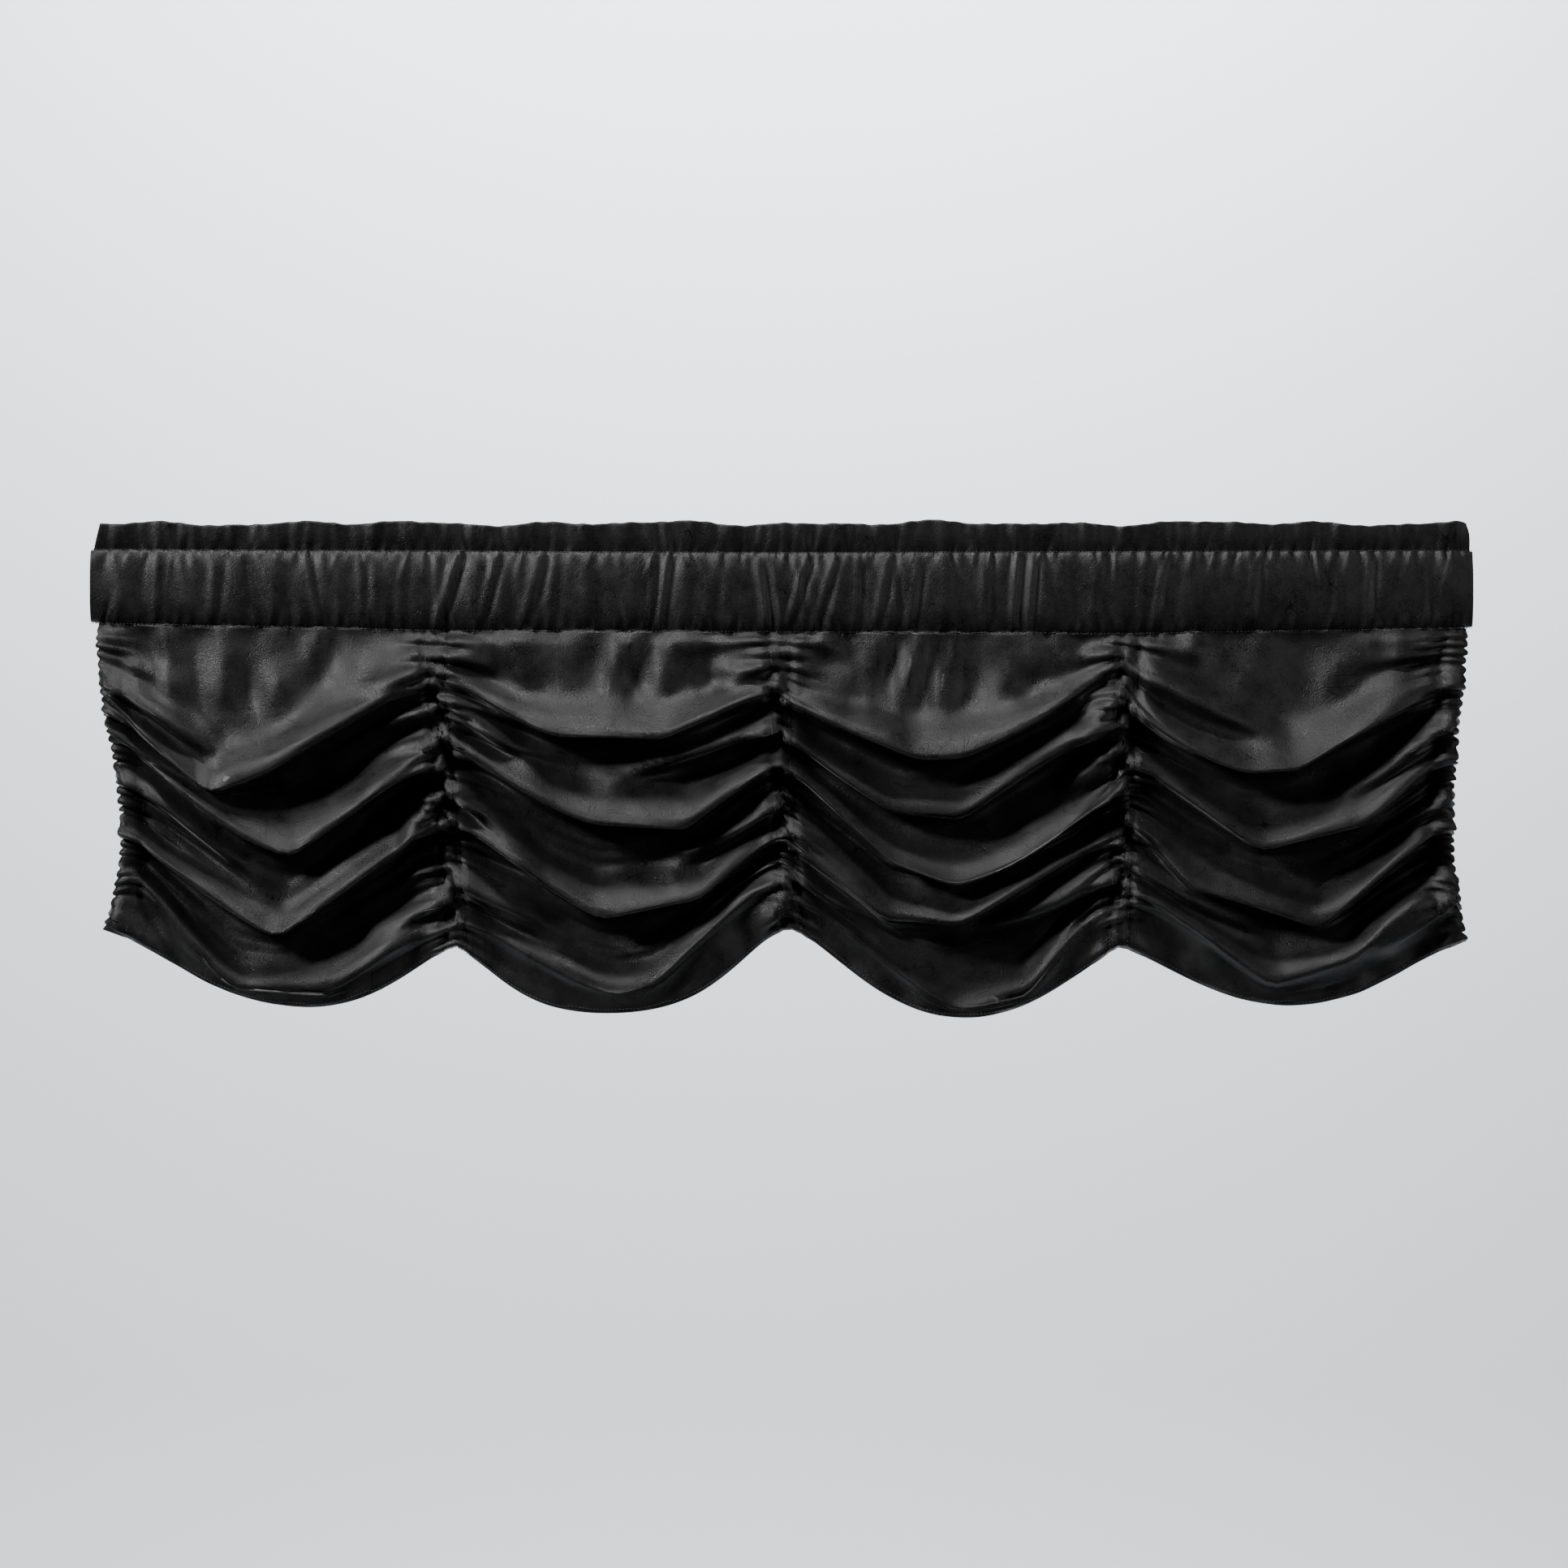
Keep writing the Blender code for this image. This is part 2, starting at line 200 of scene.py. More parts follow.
SWAGS = (
    Swag(
        lips=(
            Lip(171.0, 0.1, -521.0, 249.0, -463.0, 226.0, 0.0, 147.0, 36.0, 8.0),
            Lip(187.0, 0.8, -449.0, 307.0, -446.0, 307.0, 0.0, 223.5, 38.0, 3.5),
            Lip(285.0, 0.4, -460.0, 380.0, -457.0, 380.0, 0.0, 279.0, 38.0, 3.5),
            Lip(319.0, 0.0, -501.0, 430.0, -411.0, 430.0, -0.2, 373.0, 30.0, 4.5),
        ),
        places=(1.0, 2.0, 3.0, 4.0),
        folds=dying_folds(
            left=(
                (149.0, 0.0, -497.0, 241.0, 16.0), (236.0, 0.0, -460.0, 366.0, 17.0),
                (360.0, 0.2, -553.0, 404.0, 9.0),
            ),
            right=(
                (108.0, 0.0, -380.0, 112.0, 9.0), (131.0, 0.2, -392.0, 160.0, 17.0),
                (174.0, 0.2, -430.0, 240.0, 11.0), (202.0, 0.1, -390.0, 262.0, 15.0),
                (253.0, 0.0, -351.0, 309.0, 12.0), (347.0, 0.0, -385.0, 405.0, 11.0),
            ),
        ),
        hem=(374.0, 401.5, 428.5, 443.5, 443.0, 421.0, 390.0),
    ),
    Swag(
        lips=(
            Lip(137.0, 0.5, -205.0, 197.0, -111.0, 198.0, 0.0, 152.0, 40.0, 9.0),
            Lip(191.0, 0.75, -167.0, 278.0, -88.0, 281.0, -0.1, 223.5, 38.0, 6.0),
            Lip(270.0, 0.4, -164.0, 364.0, -74.0, 345.0, -0.15, 291.0, 39.0, 4.5),
            Lip(364.0, 0.4, -150.0, 433.0, -113.0, 424.0, -0.25, 330.0, 32.0, 4.5),
        ),
        places=(1.0, 2.0, 3.0, 4.0),
        folds=dying_folds(
            left=(
                (113.0, 0.0, -293.0, 107.0, 9.0), (123.0, -0.2, -272.0, 117.0, 13.0),
                (161.0, 0.0, -211.0, 254.0, 13.0), (242.0, 0.1, -218.0, 332.0, 17.0),
                (328.0, 0.2, -193.0, 392.0, 17.0),
            ),
            right=(
                (116.0, 0.0, -42.0, 116.0, 12.0), (126.0, 0.2, -64.0, 164.0, 16.0),
                (190.0, 0.0, -172.0, 264.0, 21.0), (261.0, 0.0, -112.0, 343.0, 17.0),
                (345.0, 0.2, -28.0, 381.0, 8.0),
            ),
        ),
        hem=(390.0, 429.0, 448.5, 450.5, 440.5, 408.0, 373.5),
    ),
    Swag(
        lips=(
            Lip(163.0, 0.25, 125.0, 218.0, 163.0, 217.0, 0.6, 125.0, 40.0, 8.0),
            Lip(199.0, 0.25, 103.0, 269.0, 164.0, 275.0, 0.0, 184.0, 38.0, 5.0),
            Lip(227.0, 0.1, 99.0, 313.0, 157.0, 334.0, 0.8, 242.0, 39.0, 4.5),
            Lip(296.0, 0.1, 95.0, 364.0, 163.0, 370.0, 0.1, 292.0, 37.0, 3.5),
            Lip(345.0, 0.35, 159.0, 446.0, 226.0, 436.0, -0.5, 361.0, 28.0, 5.0),
        ),
        places=(1.0, 1.5, 2.0, 3.0, 4.0),
        folds=dying_folds(
            left=(
                (109.0, 0.0, 28.0, 108.0, 8.0), (117.0, 0.0, 60.0, 122.0, 14.0),
                (283.0, 0.0, 97.0, 360.0, 15.0), (326.0, 0.3, 159.0, 418.0, 11.0),
            ),
            right=(
                (112.0, 0.0, 283.0, 117.0, 12.0), (158.0, 0.0, 271.0, 195.0, 12.0),
                (204.0, 0.2, 253.0, 251.0, 13.0), (325.0, 0.3, 182.0, 388.0, 15.0),
            ),
        ),
        hem=(373.5, 410.0, 442.0, 455.0, 448.5, 425.0, 391.0),
    ),
    Swag(
        lips=(
            Lip(169.0, 0.7, 425.0, 229.0, 470.0, 227.0, 0.0, 148.0, 40.0, 9.0),
            Lip(221.0, 0.1, 436.0, 302.0, 532.0, 276.0, -0.2, 219.0, 38.0, 4.5),
            Lip(270.0, 0.0, 373.0, 332.0, 491.0, 373.0, 0.0, 279.0, 37.0, 4.5),
            Lip(332.0, 0.2, 446.0, 423.0, 523.0, 396.0, -0.5, 331.0, 32.0, 4.5),
        ),
        places=(1.0, 2.0, 3.0, 4.0),
        folds=dying_folds(
            left=(
                (110.0, 0.0, 386.0, 119.0, 14.0), (135.0, 0.3, 461.0, 214.0, 19.0),
                (307.0, 0.8, 457.0, 387.0, 15.0),
            ),
            right=(
                (184.0, 0.1, 500.0, 277.0, 17.0), (255.0, 0.2, 553.0, 304.0, 10.0),
                (346.0, 0.2, 530.0, 399.0, 11.0),
            ),
        ),
        hem=(391.0, 414.5, 436.5, 444.0, 435.0, 411.5, 385.0),
    ),
)

TUCKS = tuple(
    Tuck(*row)
    for row in (
        (-586.0, -1.8, 9.0, 60.0, 0.2), (-566.0, 3.0, 7.0, 70.0, 0.12), (-540.0, -2.6, 8.0, 70.0, 0.05),
        (-508.0, 3.4, 8.0, 75.0, 0.06), (-493.0, -3.0, 9.0, 75.0, 0.06), (-454.0, 2.4, 5.0, 18.0),
        (-446.0, -2.2, 7.0, 45.0, 0.05), (-423.0, 2.8, 4.5, 36.0, -0.25), (-412.0, -2.6, 4.5, 55.0, -0.05),
        (-407.0, 1.8, 6.0, 50.0, 0.2), (-400.0, -2.2, 4.5, 60.0, 0.08), (-391.0, 2.6, 3.5, 20.0, -0.05),
        (-268.0, -3.6, 9.0, 75.0, 0.42), (-252.0, 2.6, 4.0, 28.0, -0.15), (-234.0, 3.4, 5.5, 30.0, -0.35),
        (-204.0, -1.6, 5.0, 30.0, -0.1), (-190.0, 2.8, 11.0, 85.0, -0.28), (-178.0, 1.8, 4.0, 28.0),
        (-165.0, -2.4, 5.0, 60.0, -0.08), (-154.0, 2.8, 6.0, 80.0, -0.1), (-137.0, 3.6, 7.0, 80.0, -0.3),
        (-122.0, -2.6, 7.0, 70.0, -0.15), (-97.0, 3.4, 8.0, 72.0, -0.28), (-81.0, 2.0, 6.0, 60.0),
        (-62.0, -3.4, 12.0, 55.0, -0.05), (37.0, 2.0, 5.0, 14.0, 0.1), (60.0, -3.0, 10.0, 40.0, 0.3),
        (80.0, 2.4, 4.0, 26.0, 0.1), (97.0, 3.6, 6.0, 62.0, -0.3), (112.0, -3.4, 6.0, 70.0, -0.25),
        (117.0, 2.0, 4.5, 26.0), (132.0, 3.4, 9.0, 88.0, -0.36), (147.0, -2.6, 7.0, 80.0, -0.3),
        (161.0, 3.2, 7.0, 70.0, -0.26), (177.0, -2.2, 9.0, 80.0, -0.1), (198.0, 2.4, 4.5, 22.0, -0.1),
        (211.0, 2.6, 6.0, 90.0), (229.0, 3.0, 8.0, 62.0, 0.55), (240.0, -2.4, 5.0, 40.0, 0.5),
        (252.0, 2.2, 4.0, 30.0, 0.35), (278.0, -3.4, 12.0, 40.0), (378.0, 3.4, 8.0, 26.0, 0.1),
        (405.0, -3.0, 16.0, 60.0, 0.1), (442.0, 1.8, 6.0, 25.0), (476.0, -3.0, 24.0, 75.0),
        (543.0, 1.6, 6.0, 30.0), (565.0, 2.0, 7.0, 40.0), (592.0, 1.6, 7.0, 40.0, 0.1),
    )
)


# Small helpers on numbers and meshes


def even_curve(values: Sequence[float], share: Array) -> Array:
    """The smooth curve through values at even steps, read at a share of the way."""
    steps = np.linspace(0.0, 1.0, len(values))
    return np.polyval(np.polyfit(steps, values, len(values) - 1), share)


def puff(turns: Array, sharp: float = 0.75) -> Array:
    """A row of round tops with sharp creases between them, from -1 to 1, one for each turn."""
    return 2 * np.abs(np.sin(np.pi * turns)) ** sharp - 1


def lump(distance: Array) -> Array:
    """A half circle of height 1, which meets its neighbours in creases."""
    return np.sqrt(np.clip(1 - distance * distance, 0.0, 1.0))


def bell(distance: Array) -> Array:
    """A bell curve of height 1."""
    return np.exp(-distance * distance)


def wave_sum(angle: Array, waves: Sequence[tuple[float, float, float]]) -> Array:
    """A sum of waves, each with its height, its length and its start."""
    return sum(high * np.sin(angle / long + start) for high, long, start in waves)


class Ripple:
    """Smooth seeded unevenness in two directions, about -1 to 1."""

    def __init__(self, seed: int, low: float, high: float, across: float, count: int = 14) -> None:
        """Draws the waves.

        Args:
            seed: The seed.
            low: The lowest frequency along the second direction.
            high: The highest frequency along it.
            across: How much lower the frequencies along the first direction are.
            count: How many waves.
        """
        rng = np.random.default_rng(seed)
        self.v = rng.uniform(low, high, count) * rng.choice([-1, 1], count)
        self.u = rng.uniform(-high, high, count) * across
        self.phase = rng.uniform(0, TAU, count)
        self.share = 1.6 / math.sqrt(count)

    def at(self, u: Array, v: Array) -> Array:
        """The unevenness at u, v."""
        total = np.zeros(np.broadcast(u, v).shape)
        for fu, fv, phase in zip(self.u, self.v, self.phase):
            total = total + np.sin(TAU * (fu * u + fv * v) + phase)
        return total * self.share


def grid_normals(points: Array, around: bool = False) -> Array:
    """Unit normals of a grid of points, by its neighbours' differences.

    Args:
        points: The points, rows by columns by 3.
        around: Whether the columns close on themselves.

    Returns:
        The normals, which point along column step times row step.
    """
    if around:
        along = np.roll(points, -1, axis=1) - np.roll(points, 1, axis=1)
    else:
        along = np.gradient(points, axis=1)
    down = np.gradient(points, axis=0)
    normals = np.cross(along, down)
    return normals / np.maximum(np.linalg.norm(normals, axis=2, keepdims=True), 1e-9)


def fold_sharpness(mesh: bpy.types.Mesh, reach: float = 9.0) -> Array:
    """How sharply a mesh folds at each of its points.

    Args:
        mesh: The mesh.
        reach: The mean radius in millimetres, doubled, that counts as fully sharp.

    Returns:
        The values, from -1 in a sharp crease to 1 on a sharp crest.
    """
    count = len(mesh.vertices)
    place, normal = np.empty(count * 3, dtype=np.float32), np.empty(count * 3, dtype=np.float32)
    ends = np.empty(len(mesh.edges) * 2, dtype=np.int32)
    mesh.vertices.foreach_get("co", place)
    mesh.vertex_normals.foreach_get("vector", normal)
    mesh.edges.foreach_get("vertices", ends)
    place, normal, ends = place.reshape(-1, 3) / MM, normal.reshape(-1, 3), ends.reshape(-1, 2)
    near = np.maximum(np.bincount(ends.ravel(), minlength=count), 1)
    step = place[ends[:, 1]] - place[ends[:, 0]]
    length = np.maximum((step * step).sum(axis=1), 1e-6)
    bend = np.zeros(count)
    for side, turn in ((0, -2.0), (1, 2.0)):
        bent = turn * (step * normal[ends[:, side]]).sum(axis=1) / length
        bend += np.bincount(ends[:, side], weights=bent, minlength=count)
    bend /= near
    for _ in range(3):
        around = np.zeros(count)
        for side in (0, 1):
            around += np.bincount(ends[:, side], weights=bend[ends[:, 1 - side]], minlength=count)
        bend = 0.5 * bend + 0.5 * around / near
    return np.clip(bend * reach, -1.0, 1.0)


def mark_painted_light(made: bpy.types.Object, share: float, still: Array, most: float = 0.5) -> None:
    """Keeps how sharply an object's cloth folds, as the mask that places the velvet's painted crest highlight
    and painted crease shade.

    Args:
        made: The object.
        share: The share of the sharpness that is kept.
        still: The numbers of the points that count as flat.
        most: The sharpest that a crest counts as.
    """
    sharp = share * np.clip(fold_sharpness(made.data), -1.0, most)
    sharp[still] = 0.0
    # The fold attribute places the velvet's painted crest highlight and painted crease shade.
    made.data.attributes.new("fold", "FLOAT", "POINT").data.foreach_set("value", sharp.astype(np.float32))


def mesh_object(
    name: str, points: Array, faces: Sequence[Array], uv: Array, material: bpy.types.Material
) -> bpy.types.Object:
    """A smooth mesh object from points in millimetres.

    Args:
        name: The object's name.
        points: The points, n by 3.
        faces: Sets of faces, each with a row of point numbers for every face.
        uv: Each point's place on the flat cloth, in metres.
        material: Its material.

    Returns:
        The object, linked to the scene.
    """
    mesh = bpy.data.meshes.new(name)
    mesh.vertices.add(len(points))
    mesh.vertices.foreach_set("co", (points * MM).astype(np.float32).ravel())
    loops = np.concatenate([part.ravel() for part in faces]).astype(np.int32)
    sizes = np.concatenate([np.full(len(part), part.shape[1]) for part in faces])
    mesh.loops.add(len(loops))
    mesh.loops.foreach_set("vertex_index", loops)
    mesh.polygons.add(len(sizes))
    mesh.polygons.foreach_set("loop_start", (np.cumsum(sizes) - sizes).astype(np.int32))
    mesh.polygons.foreach_set("use_smooth", np.ones(len(sizes), dtype=bool))
    mesh.update(calc_edges=True)
    layer = mesh.uv_layers.new(name="flat")
    layer.data.foreach_set("uv", uv[loops].astype(np.float32).ravel())
    mesh.materials.append(material)
    mesh.validate()
    made = bpy.data.objects.new(name, mesh)
    bpy.context.scene.collection.objects.link(made)
    return made


def grid_faces(rows: int, columns: int, weld: Weld = Weld.OPEN, first: int = 0) -> Array:
    """The quads of a grid of points that are numbered row by row.

    Args:
        rows: How many rows of points.
        columns: How many points in a row.
        weld: Whether each row's last point joins its first.
        first: The first point's number.

    Returns:
        The quads, n by 4.
    """
    index = first + np.arange(rows * columns).reshape(rows, columns)
    if weld is Weld.AROUND:
        index = np.column_stack((index, index[:, 0]))
    quads = (index[:-1, :-1], index[1:, :-1], index[1:, 1:], index[:-1, 1:])
    return np.stack(quads, axis=-1).reshape(-1, 4)


def border(index: Array) -> Array:
    """The numbers around the border of a grid of point numbers."""
    return np.concatenate((index[0, :-1], index[:-1, -1], index[-1, :0:-1], index[:0:-1, 0]))


def sheet_mesh(
    name: str, middle: Array, thick: Array, flat: Array, material: bpy.types.Material
) -> bpy.types.Object:
    """A closed sheet with a rounded rim about a grid of middle points.

    Its back has every other row and column.

    Args:
        name: The object's name.
        middle: Its middle surface, rows by columns by 3, in millimetres, with odd numbers of both.
        thick: Its thickness at each point.
        flat: Each point's place on the flat cloth, in metres.
        material: Its material.

    Returns:
        The object.
    """
    rows, columns = middle.shape[:2]
    normal = grid_normals(middle)
    half = thick[..., None] / 2
    front, back = middle + normal * half, (middle - normal * half)[::2, ::2]
    rim = border(np.arange(rows * columns).reshape(rows, columns))
    step_in = np.zeros_like(middle)
    step_in[0] = middle[0] - middle[1]
    step_in[-1] = middle[-1] - middle[-2]
    step_in[:, 0] += middle[:, 0] - middle[:, 1]
    step_in[:, -1] += middle[:, -1] - middle[:, -2]
    outward = step_in.reshape(-1, 3)[rim]
    outward = outward / np.maximum(np.linalg.norm(outward, axis=1, keepdims=True), 1e-9)
    edge = middle.reshape(-1, 3)[rim] + outward * thick.reshape(-1)[rim][:, None] * 0.35
    points = np.concatenate((front.reshape(-1, 3), back.reshape(-1, 3), edge))
    uv = np.concatenate((flat.reshape(-1, 2), flat[::2, ::2].reshape(-1, 2), flat.reshape(-1, 2)[rim]))
    total = rows * columns
    behind = total + np.arange(back.shape[0] * back.shape[1]).reshape(back.shape[:2])
    ring = np.arange(len(rim)) + total + behind.size
    rear = border(behind)
    ring_even, ring_odd, ring_next = ring[::2], ring[1::2], np.roll(ring, -2)[::2]
    faces = (
        grid_faces(rows, columns)[:, ::-1],
        grid_faces(*back.shape[:2], first=total),
        np.stack((rim, np.roll(rim, -1), np.roll(ring, -1), ring), axis=-1)[:, ::-1],
        np.stack((ring_even, ring_odd, np.roll(rear, -1), rear), axis=-1)[:, ::-1],
        np.stack((ring_odd, ring_next, np.roll(rear, -1)), axis=-1)[:, ::-1],
    )
    return mesh_object(name, points, faces, uv, material)


# The cloth


@dataclass
class SwagCloth:
    """The gathered cloth under the pocket: four swags between five gathers, with puckers and a turned hem.

    Pairs of sizes are the least and the most, or the value at a gather and the value far from it.
    """

    width: float = 1271.0
    gap: float = 0.3
    # The rows between the seam, the places of the main lips and the hem, and the columns of a swag.
    rows_between: tuple[int, ...] = (44, 50, 52, 54, 22)
    row_crowd: float = 1.25
    row_ease: float = 22.0
    evened: dict[bool, float] = field(default_factory=lambda: {True: 0.75, False: 0.4})
    columns: int = 86
    column_crowd: float = 0.42
    # How far the middle of a swag, and the cloth at its gathers, stand forward.
    bulge: float = 7.0
    gather_share: float = 0.36
    gather_run: float = 66.0
    gather_puff: float = 11.0
    gather_wide: float = 26.0
    # A lip: how far its slopes reach above and below its crest, and how steeply they fall.
    reach_up: tuple[float, float] = (5.5, 18.0)
    reach_down: tuple[float, float] = (4.2, 17.0)
    reach_run: float = 120.0
    up_power: tuple[float, float] = (1.5, 1.12)
    down_power: tuple[float, float] = (1.6, 1.1)
    roll: float = 0.16
    roll_run: float = 5.0
    roll_power: float = 1.6
    open_power: float = 1.5
    crisp: float = 0.38
    hem_reach: float = 180.0
    hem_dip: float = 0.16
    # A dying fold: its height, how it begins, and how far its slopes reach.
    fold_share: float = 1.5
    fold_begin: float = 0.45
    fold_run: float = 22.0
    rope_up: tuple[float, float] = (6.0, 15.0)
    rope_down: tuple[float, float] = (5.0, 12.0)
    rope_run: float = 80.0
    rope_power: float = 1.6
    # The lines that the lips follow, and how the folds die out towards the seam.
    leg_arch: float = 0.17
    lip_ease: float = 0.022
    seam_run: float = 42.0
    seam_power: float = 1.6
    blend_power: float = 3.0
    seam_puff: float = 1.5
    puff_runs: tuple[float, float, float] = (5.0, 30.0, 40.0)
    # How the side edges turn back, and how far cloth that stands forward sags.
    edge_turn: float = 5.0
    edge_run: float = 9.0
    droop: float = 15.0
    droop_at: float = 40.0
    # A gather: its two rows of stitches with the grooves along them and the crown between.
    channel: float = 8.0
    edge_channel: float = 20.0
    groove: float = 1.9
    groove_wide: float = 2.1
    edge_groove: tuple[float, float] = (2.0, 3.2)
    crown: float = 2.4
    dimple: float = 0.9
    dimple_run: float = 12.0
    knob_least: float = 0.35
    # The puckers at the gathers, with a round head at the stitches and a tail that dies out.
    pucker_margin: float = 2.0
    pucker_begin: float = 7.0
    pucker_wide: float = 0.31
    pucker_widen: tuple[float, float] = (60.0, 30.0)
    pucker_rise: float = 8.0
    pucker_head: float = 1.3
    pucker_tail: float = 0.6
    pucker_sag: float = 0.25
    pucker_gap: tuple[float, float] = (6.0, 11.0)
    top_gap: tuple[float, float] = (9.0, 15.0)
    top_reach: float = 44.0
    pucker_high: tuple[float, float] = (4.6, 7.6)
    pucker_long: tuple[float, float] = (7.0, 20.0)
    run_on: float = 0.6
    hem_clear: float = 34.0
    rope_high: tuple[float, float] = (6.0, 13.0)
    rope_long: tuple[float, float] = (32.0, 88.0)
    edge_gap: tuple[float, float] = (6.0, 10.5)
    edge_high: tuple[float, float] = (4.5, 8.0)
    edge_wave: float = 5.5
    edge_wave_run: float = 6.0
    edge_wave_least: float = 0.55
    edge_wave_middle: float = 0.45
    # The upright folds under the pocket, and the small puckers along its lower seam.
    tuck_higher: float = 1.9
    tuck_wider: float = 1.2
    tuck_least: float = 7.5
    tuck_begin: float = 7.0
    seam_pitch: float = 7.6
    seam_depth: float = 2.2
    seam_fade: float = 7.0
    seam_wander: tuple[tuple[float, float, float], ...] = ((0.5, 37.0, 0.0), (0.35, 15.3, 1.0))
    # The unevenness of the cloth, which dies out towards the gathers.
    quiet_run: float = 30.0
    swell_high: float = 1.5
    wrinkle_high: float = 1.3
    crease_high: float = 0.5
    dent_high: float = 1.6
    dent_cell: tuple[float, float] = (60.0, 110.0)
    # The cloth itself, its hem and its stitches.
    # How strongly fold sharpness places the velvet's painted crest highlight and painted crease shade on this
    # cloth.
    painted_light_share: float = 1.4
    flat_wide: float = 1.5
    thick: float = 1.6
    hem_thick: float = 2.4
    hem_deep: float = 8.0
    hem_ease: float = 2.2
    stitch_lift: float = 0.15
    hem_stitch: float = 3.0
    seed: int = 11
    middle: Array = field(init=False)
    normal: Array = field(init=False)
    flat: Array = field(init=False)
    hem_off: Array = field(init=False)
    drawn: list[list[tuple[float, ...]]] = field(init=False)

    def __post_init__(self) -> None:
        """Draws each gather's puckers: drop, spacing, height, then length and height to each side."""
        rng = np.random.default_rng(self.seed)
        self.drawn = []
        for gather, line in enumerate(GATHERS):
            edge = self.at_edge(gather)
            at, rows = line.seam + self.pucker_margin, []
            while at < line.hem - self.pucker_margin:
                near_top = at - line.seam < self.top_reach and not edge
                gaps = self.edge_gap if edge else self.pucker_gap
                gap = rng.uniform(*(self.top_gap if near_top else gaps))
                row = [at + gap / 2, gap, rng.uniform(*(self.edge_high if edge else self.pucker_high))]
                for _ in (0, 1):
                    runs_on = rng.uniform() < self.run_on and at < line.hem - self.hem_clear
                    row += [rng.uniform(*(self.rope_long if runs_on else self.pucker_long))]
                    row += [rng.uniform(*self.rope_high) if runs_on else 0.0]
                rows.append(tuple(row))
                at += gap
            self.drawn.append(rows)

    def at_edge(self, gather: int) -> bool:
        """Whether a gather is a side edge."""
        return gather in (0, len(SWAGS))

    def grown(self, pair: tuple[float, float], share: Array) -> Array:
        """The value at a share of the way from the first of a pair to the second."""
        return pair[0] + (pair[1] - pair[0]) * share

    def column_shares(self) -> Array:
        """The shares across a swag at which its columns stand, closer together near its gathers."""
        even = np.linspace(0.0, 1.0, self.columns + 1)
        return even - self.column_crowd * np.sin(TAU * even) / TAU

    def gather_x(self, gather: int, drop: Array) -> Array:
        """Where a gather's line runs at this drop."""
        line = GATHERS[gather]
        share = np.clip((drop - line.seam) / (line.hem - line.seam), 0.0, 1.0)
        return even_curve(line.x, share)

    def swag_width(self, swag: int) -> float:
        """How far apart a swag's gathers are."""
        return GATHERS[swag + 1].x[1] - GATHERS[swag].x[1]

    def share_across(self, swag: int, x: float, drop: float) -> float:
        """How far across a swag x lies, from 0 at its left gather to 1 at its right one."""
        left, right = (float(self.gather_x(swag + side, np.array(drop))) for side in (0, 1))
        return (x - left) / (right - left)

    def leg(self, run: Array, bow: float) -> Array:
        """The share of its fall that a leg has made after a share of its run."""
        rise = np.hypot(run, self.leg_arch) - self.leg_arch
        return rise / (math.hypot(1.0, self.leg_arch) - self.leg_arch) + bow * run * (1 - run)

    def sharp_lip(self, swag: int, lip: Lip, across: Array) -> Array:
        """A lip's drop with corners at the ends of its low stretch."""
        dip = self.share_across(swag, lip.dip_x, lip.dip)
        rise = self.share_across(swag, lip.rise_x, lip.rise)
        left = lip.left + (lip.dip - lip.left) * self.leg(np.clip(across / dip, 0, 1), lip.bow_left)
        from_right = np.clip((1 - across) / (1 - rise), 0, 1)
        right = lip.right + (lip.rise - lip.right) * self.leg(from_right, lip.bow_right)
        low = lip.dip + (lip.rise - lip.dip) * np.clip((across - dip) / (rise - dip), 0, 1)
        return np.where(across < dip, left, np.where(across > rise, right, low))

    def lip_drop(self, swag: int, lip: Lip, across: Array) -> Array:
        """A lip's drop with its corners eased."""
        steps = (-self.lip_ease, 0.0, self.lip_ease)
        before, here, after = (self.sharp_lip(swag, lip, np.clip(across + step, 0, 1)) for step in steps)
        inside = np.clip(np.minimum(across, 1 - across) / self.lip_ease, 0, 1)
        return here + (before + after - 2 * here) * inside / 3

    def seam_drop(self, swag: int, across: Array) -> Array:
        """The pocket's lower seam over a swag."""
        return GATHERS[swag].seam + (GATHERS[swag + 1].seam - GATHERS[swag].seam) * across

    def place_drop(self, swag: int, place: Array, across: Array) -> Array:
        """The drop of places between the seam, the lips and the hem.

        Args:
            swag: The swag's number.
            place: Places, 0 at the seam, whole at each main lip and 5 at the hem.
            across: Shares across the swag.

        Returns:
            The drops, places by shares.
        """
        shape = SWAGS[swag]
        stops = [0.0, *shape.places, float(len(self.rows_between))]
        lines = [self.seam_drop(swag, across)]
        lines += [self.lip_drop(swag, lip, across) for lip in shape.lips]
        lines += [even_curve(shape.hem, across)]
        stack = np.array(lines)
        at = np.interp(place, stops, np.arange(len(stops)))
        first = np.minimum(at.astype(int), len(stops) - 2)
        share = (at - first)[:, None]
        return stack[first] * (1 - share) + stack[first + 1] * share

    def gather_drop(self, gather: int, place: Array) -> Array:
        """Where rows meet a gather: half way between where its two swags would have them, and evened out."""
        drops = []
        if gather > 0:
            drops.append(self.place_drop(gather - 1, place, np.array([1.0]))[:, 0])
        if gather < len(SWAGS):
            drops.append(self.place_drop(gather, place, np.array([0.0]))[:, 0])
        line, even = GATHERS[gather], self.evened[self.at_edge(gather)]
        counts = np.concatenate(([0.0], np.cumsum(self.rows_between)))
        stops = np.arange(len(counts))
        share = np.interp(place, stops, counts / counts[-1])
        return (1 - even) * np.mean(drops, axis=0) + even * (line.seam + (line.hem - line.seam) * share)

    def row_drop(self, swag: int, place: Array, across: Array) -> Array:
        """The rows' drops over a swag, places by shares."""
        drop = self.place_drop(swag, place, across)
        for side in (0, 1):
            off = self.swag_width(swag) * np.abs(across - side)
            own = self.place_drop(swag, place, np.array([float(side)]))[:, 0]
            step = self.gather_drop(swag + side, place) - own
            drop = drop + step[:, None] * np.exp(-off / self.row_ease)[None, :]
        return drop

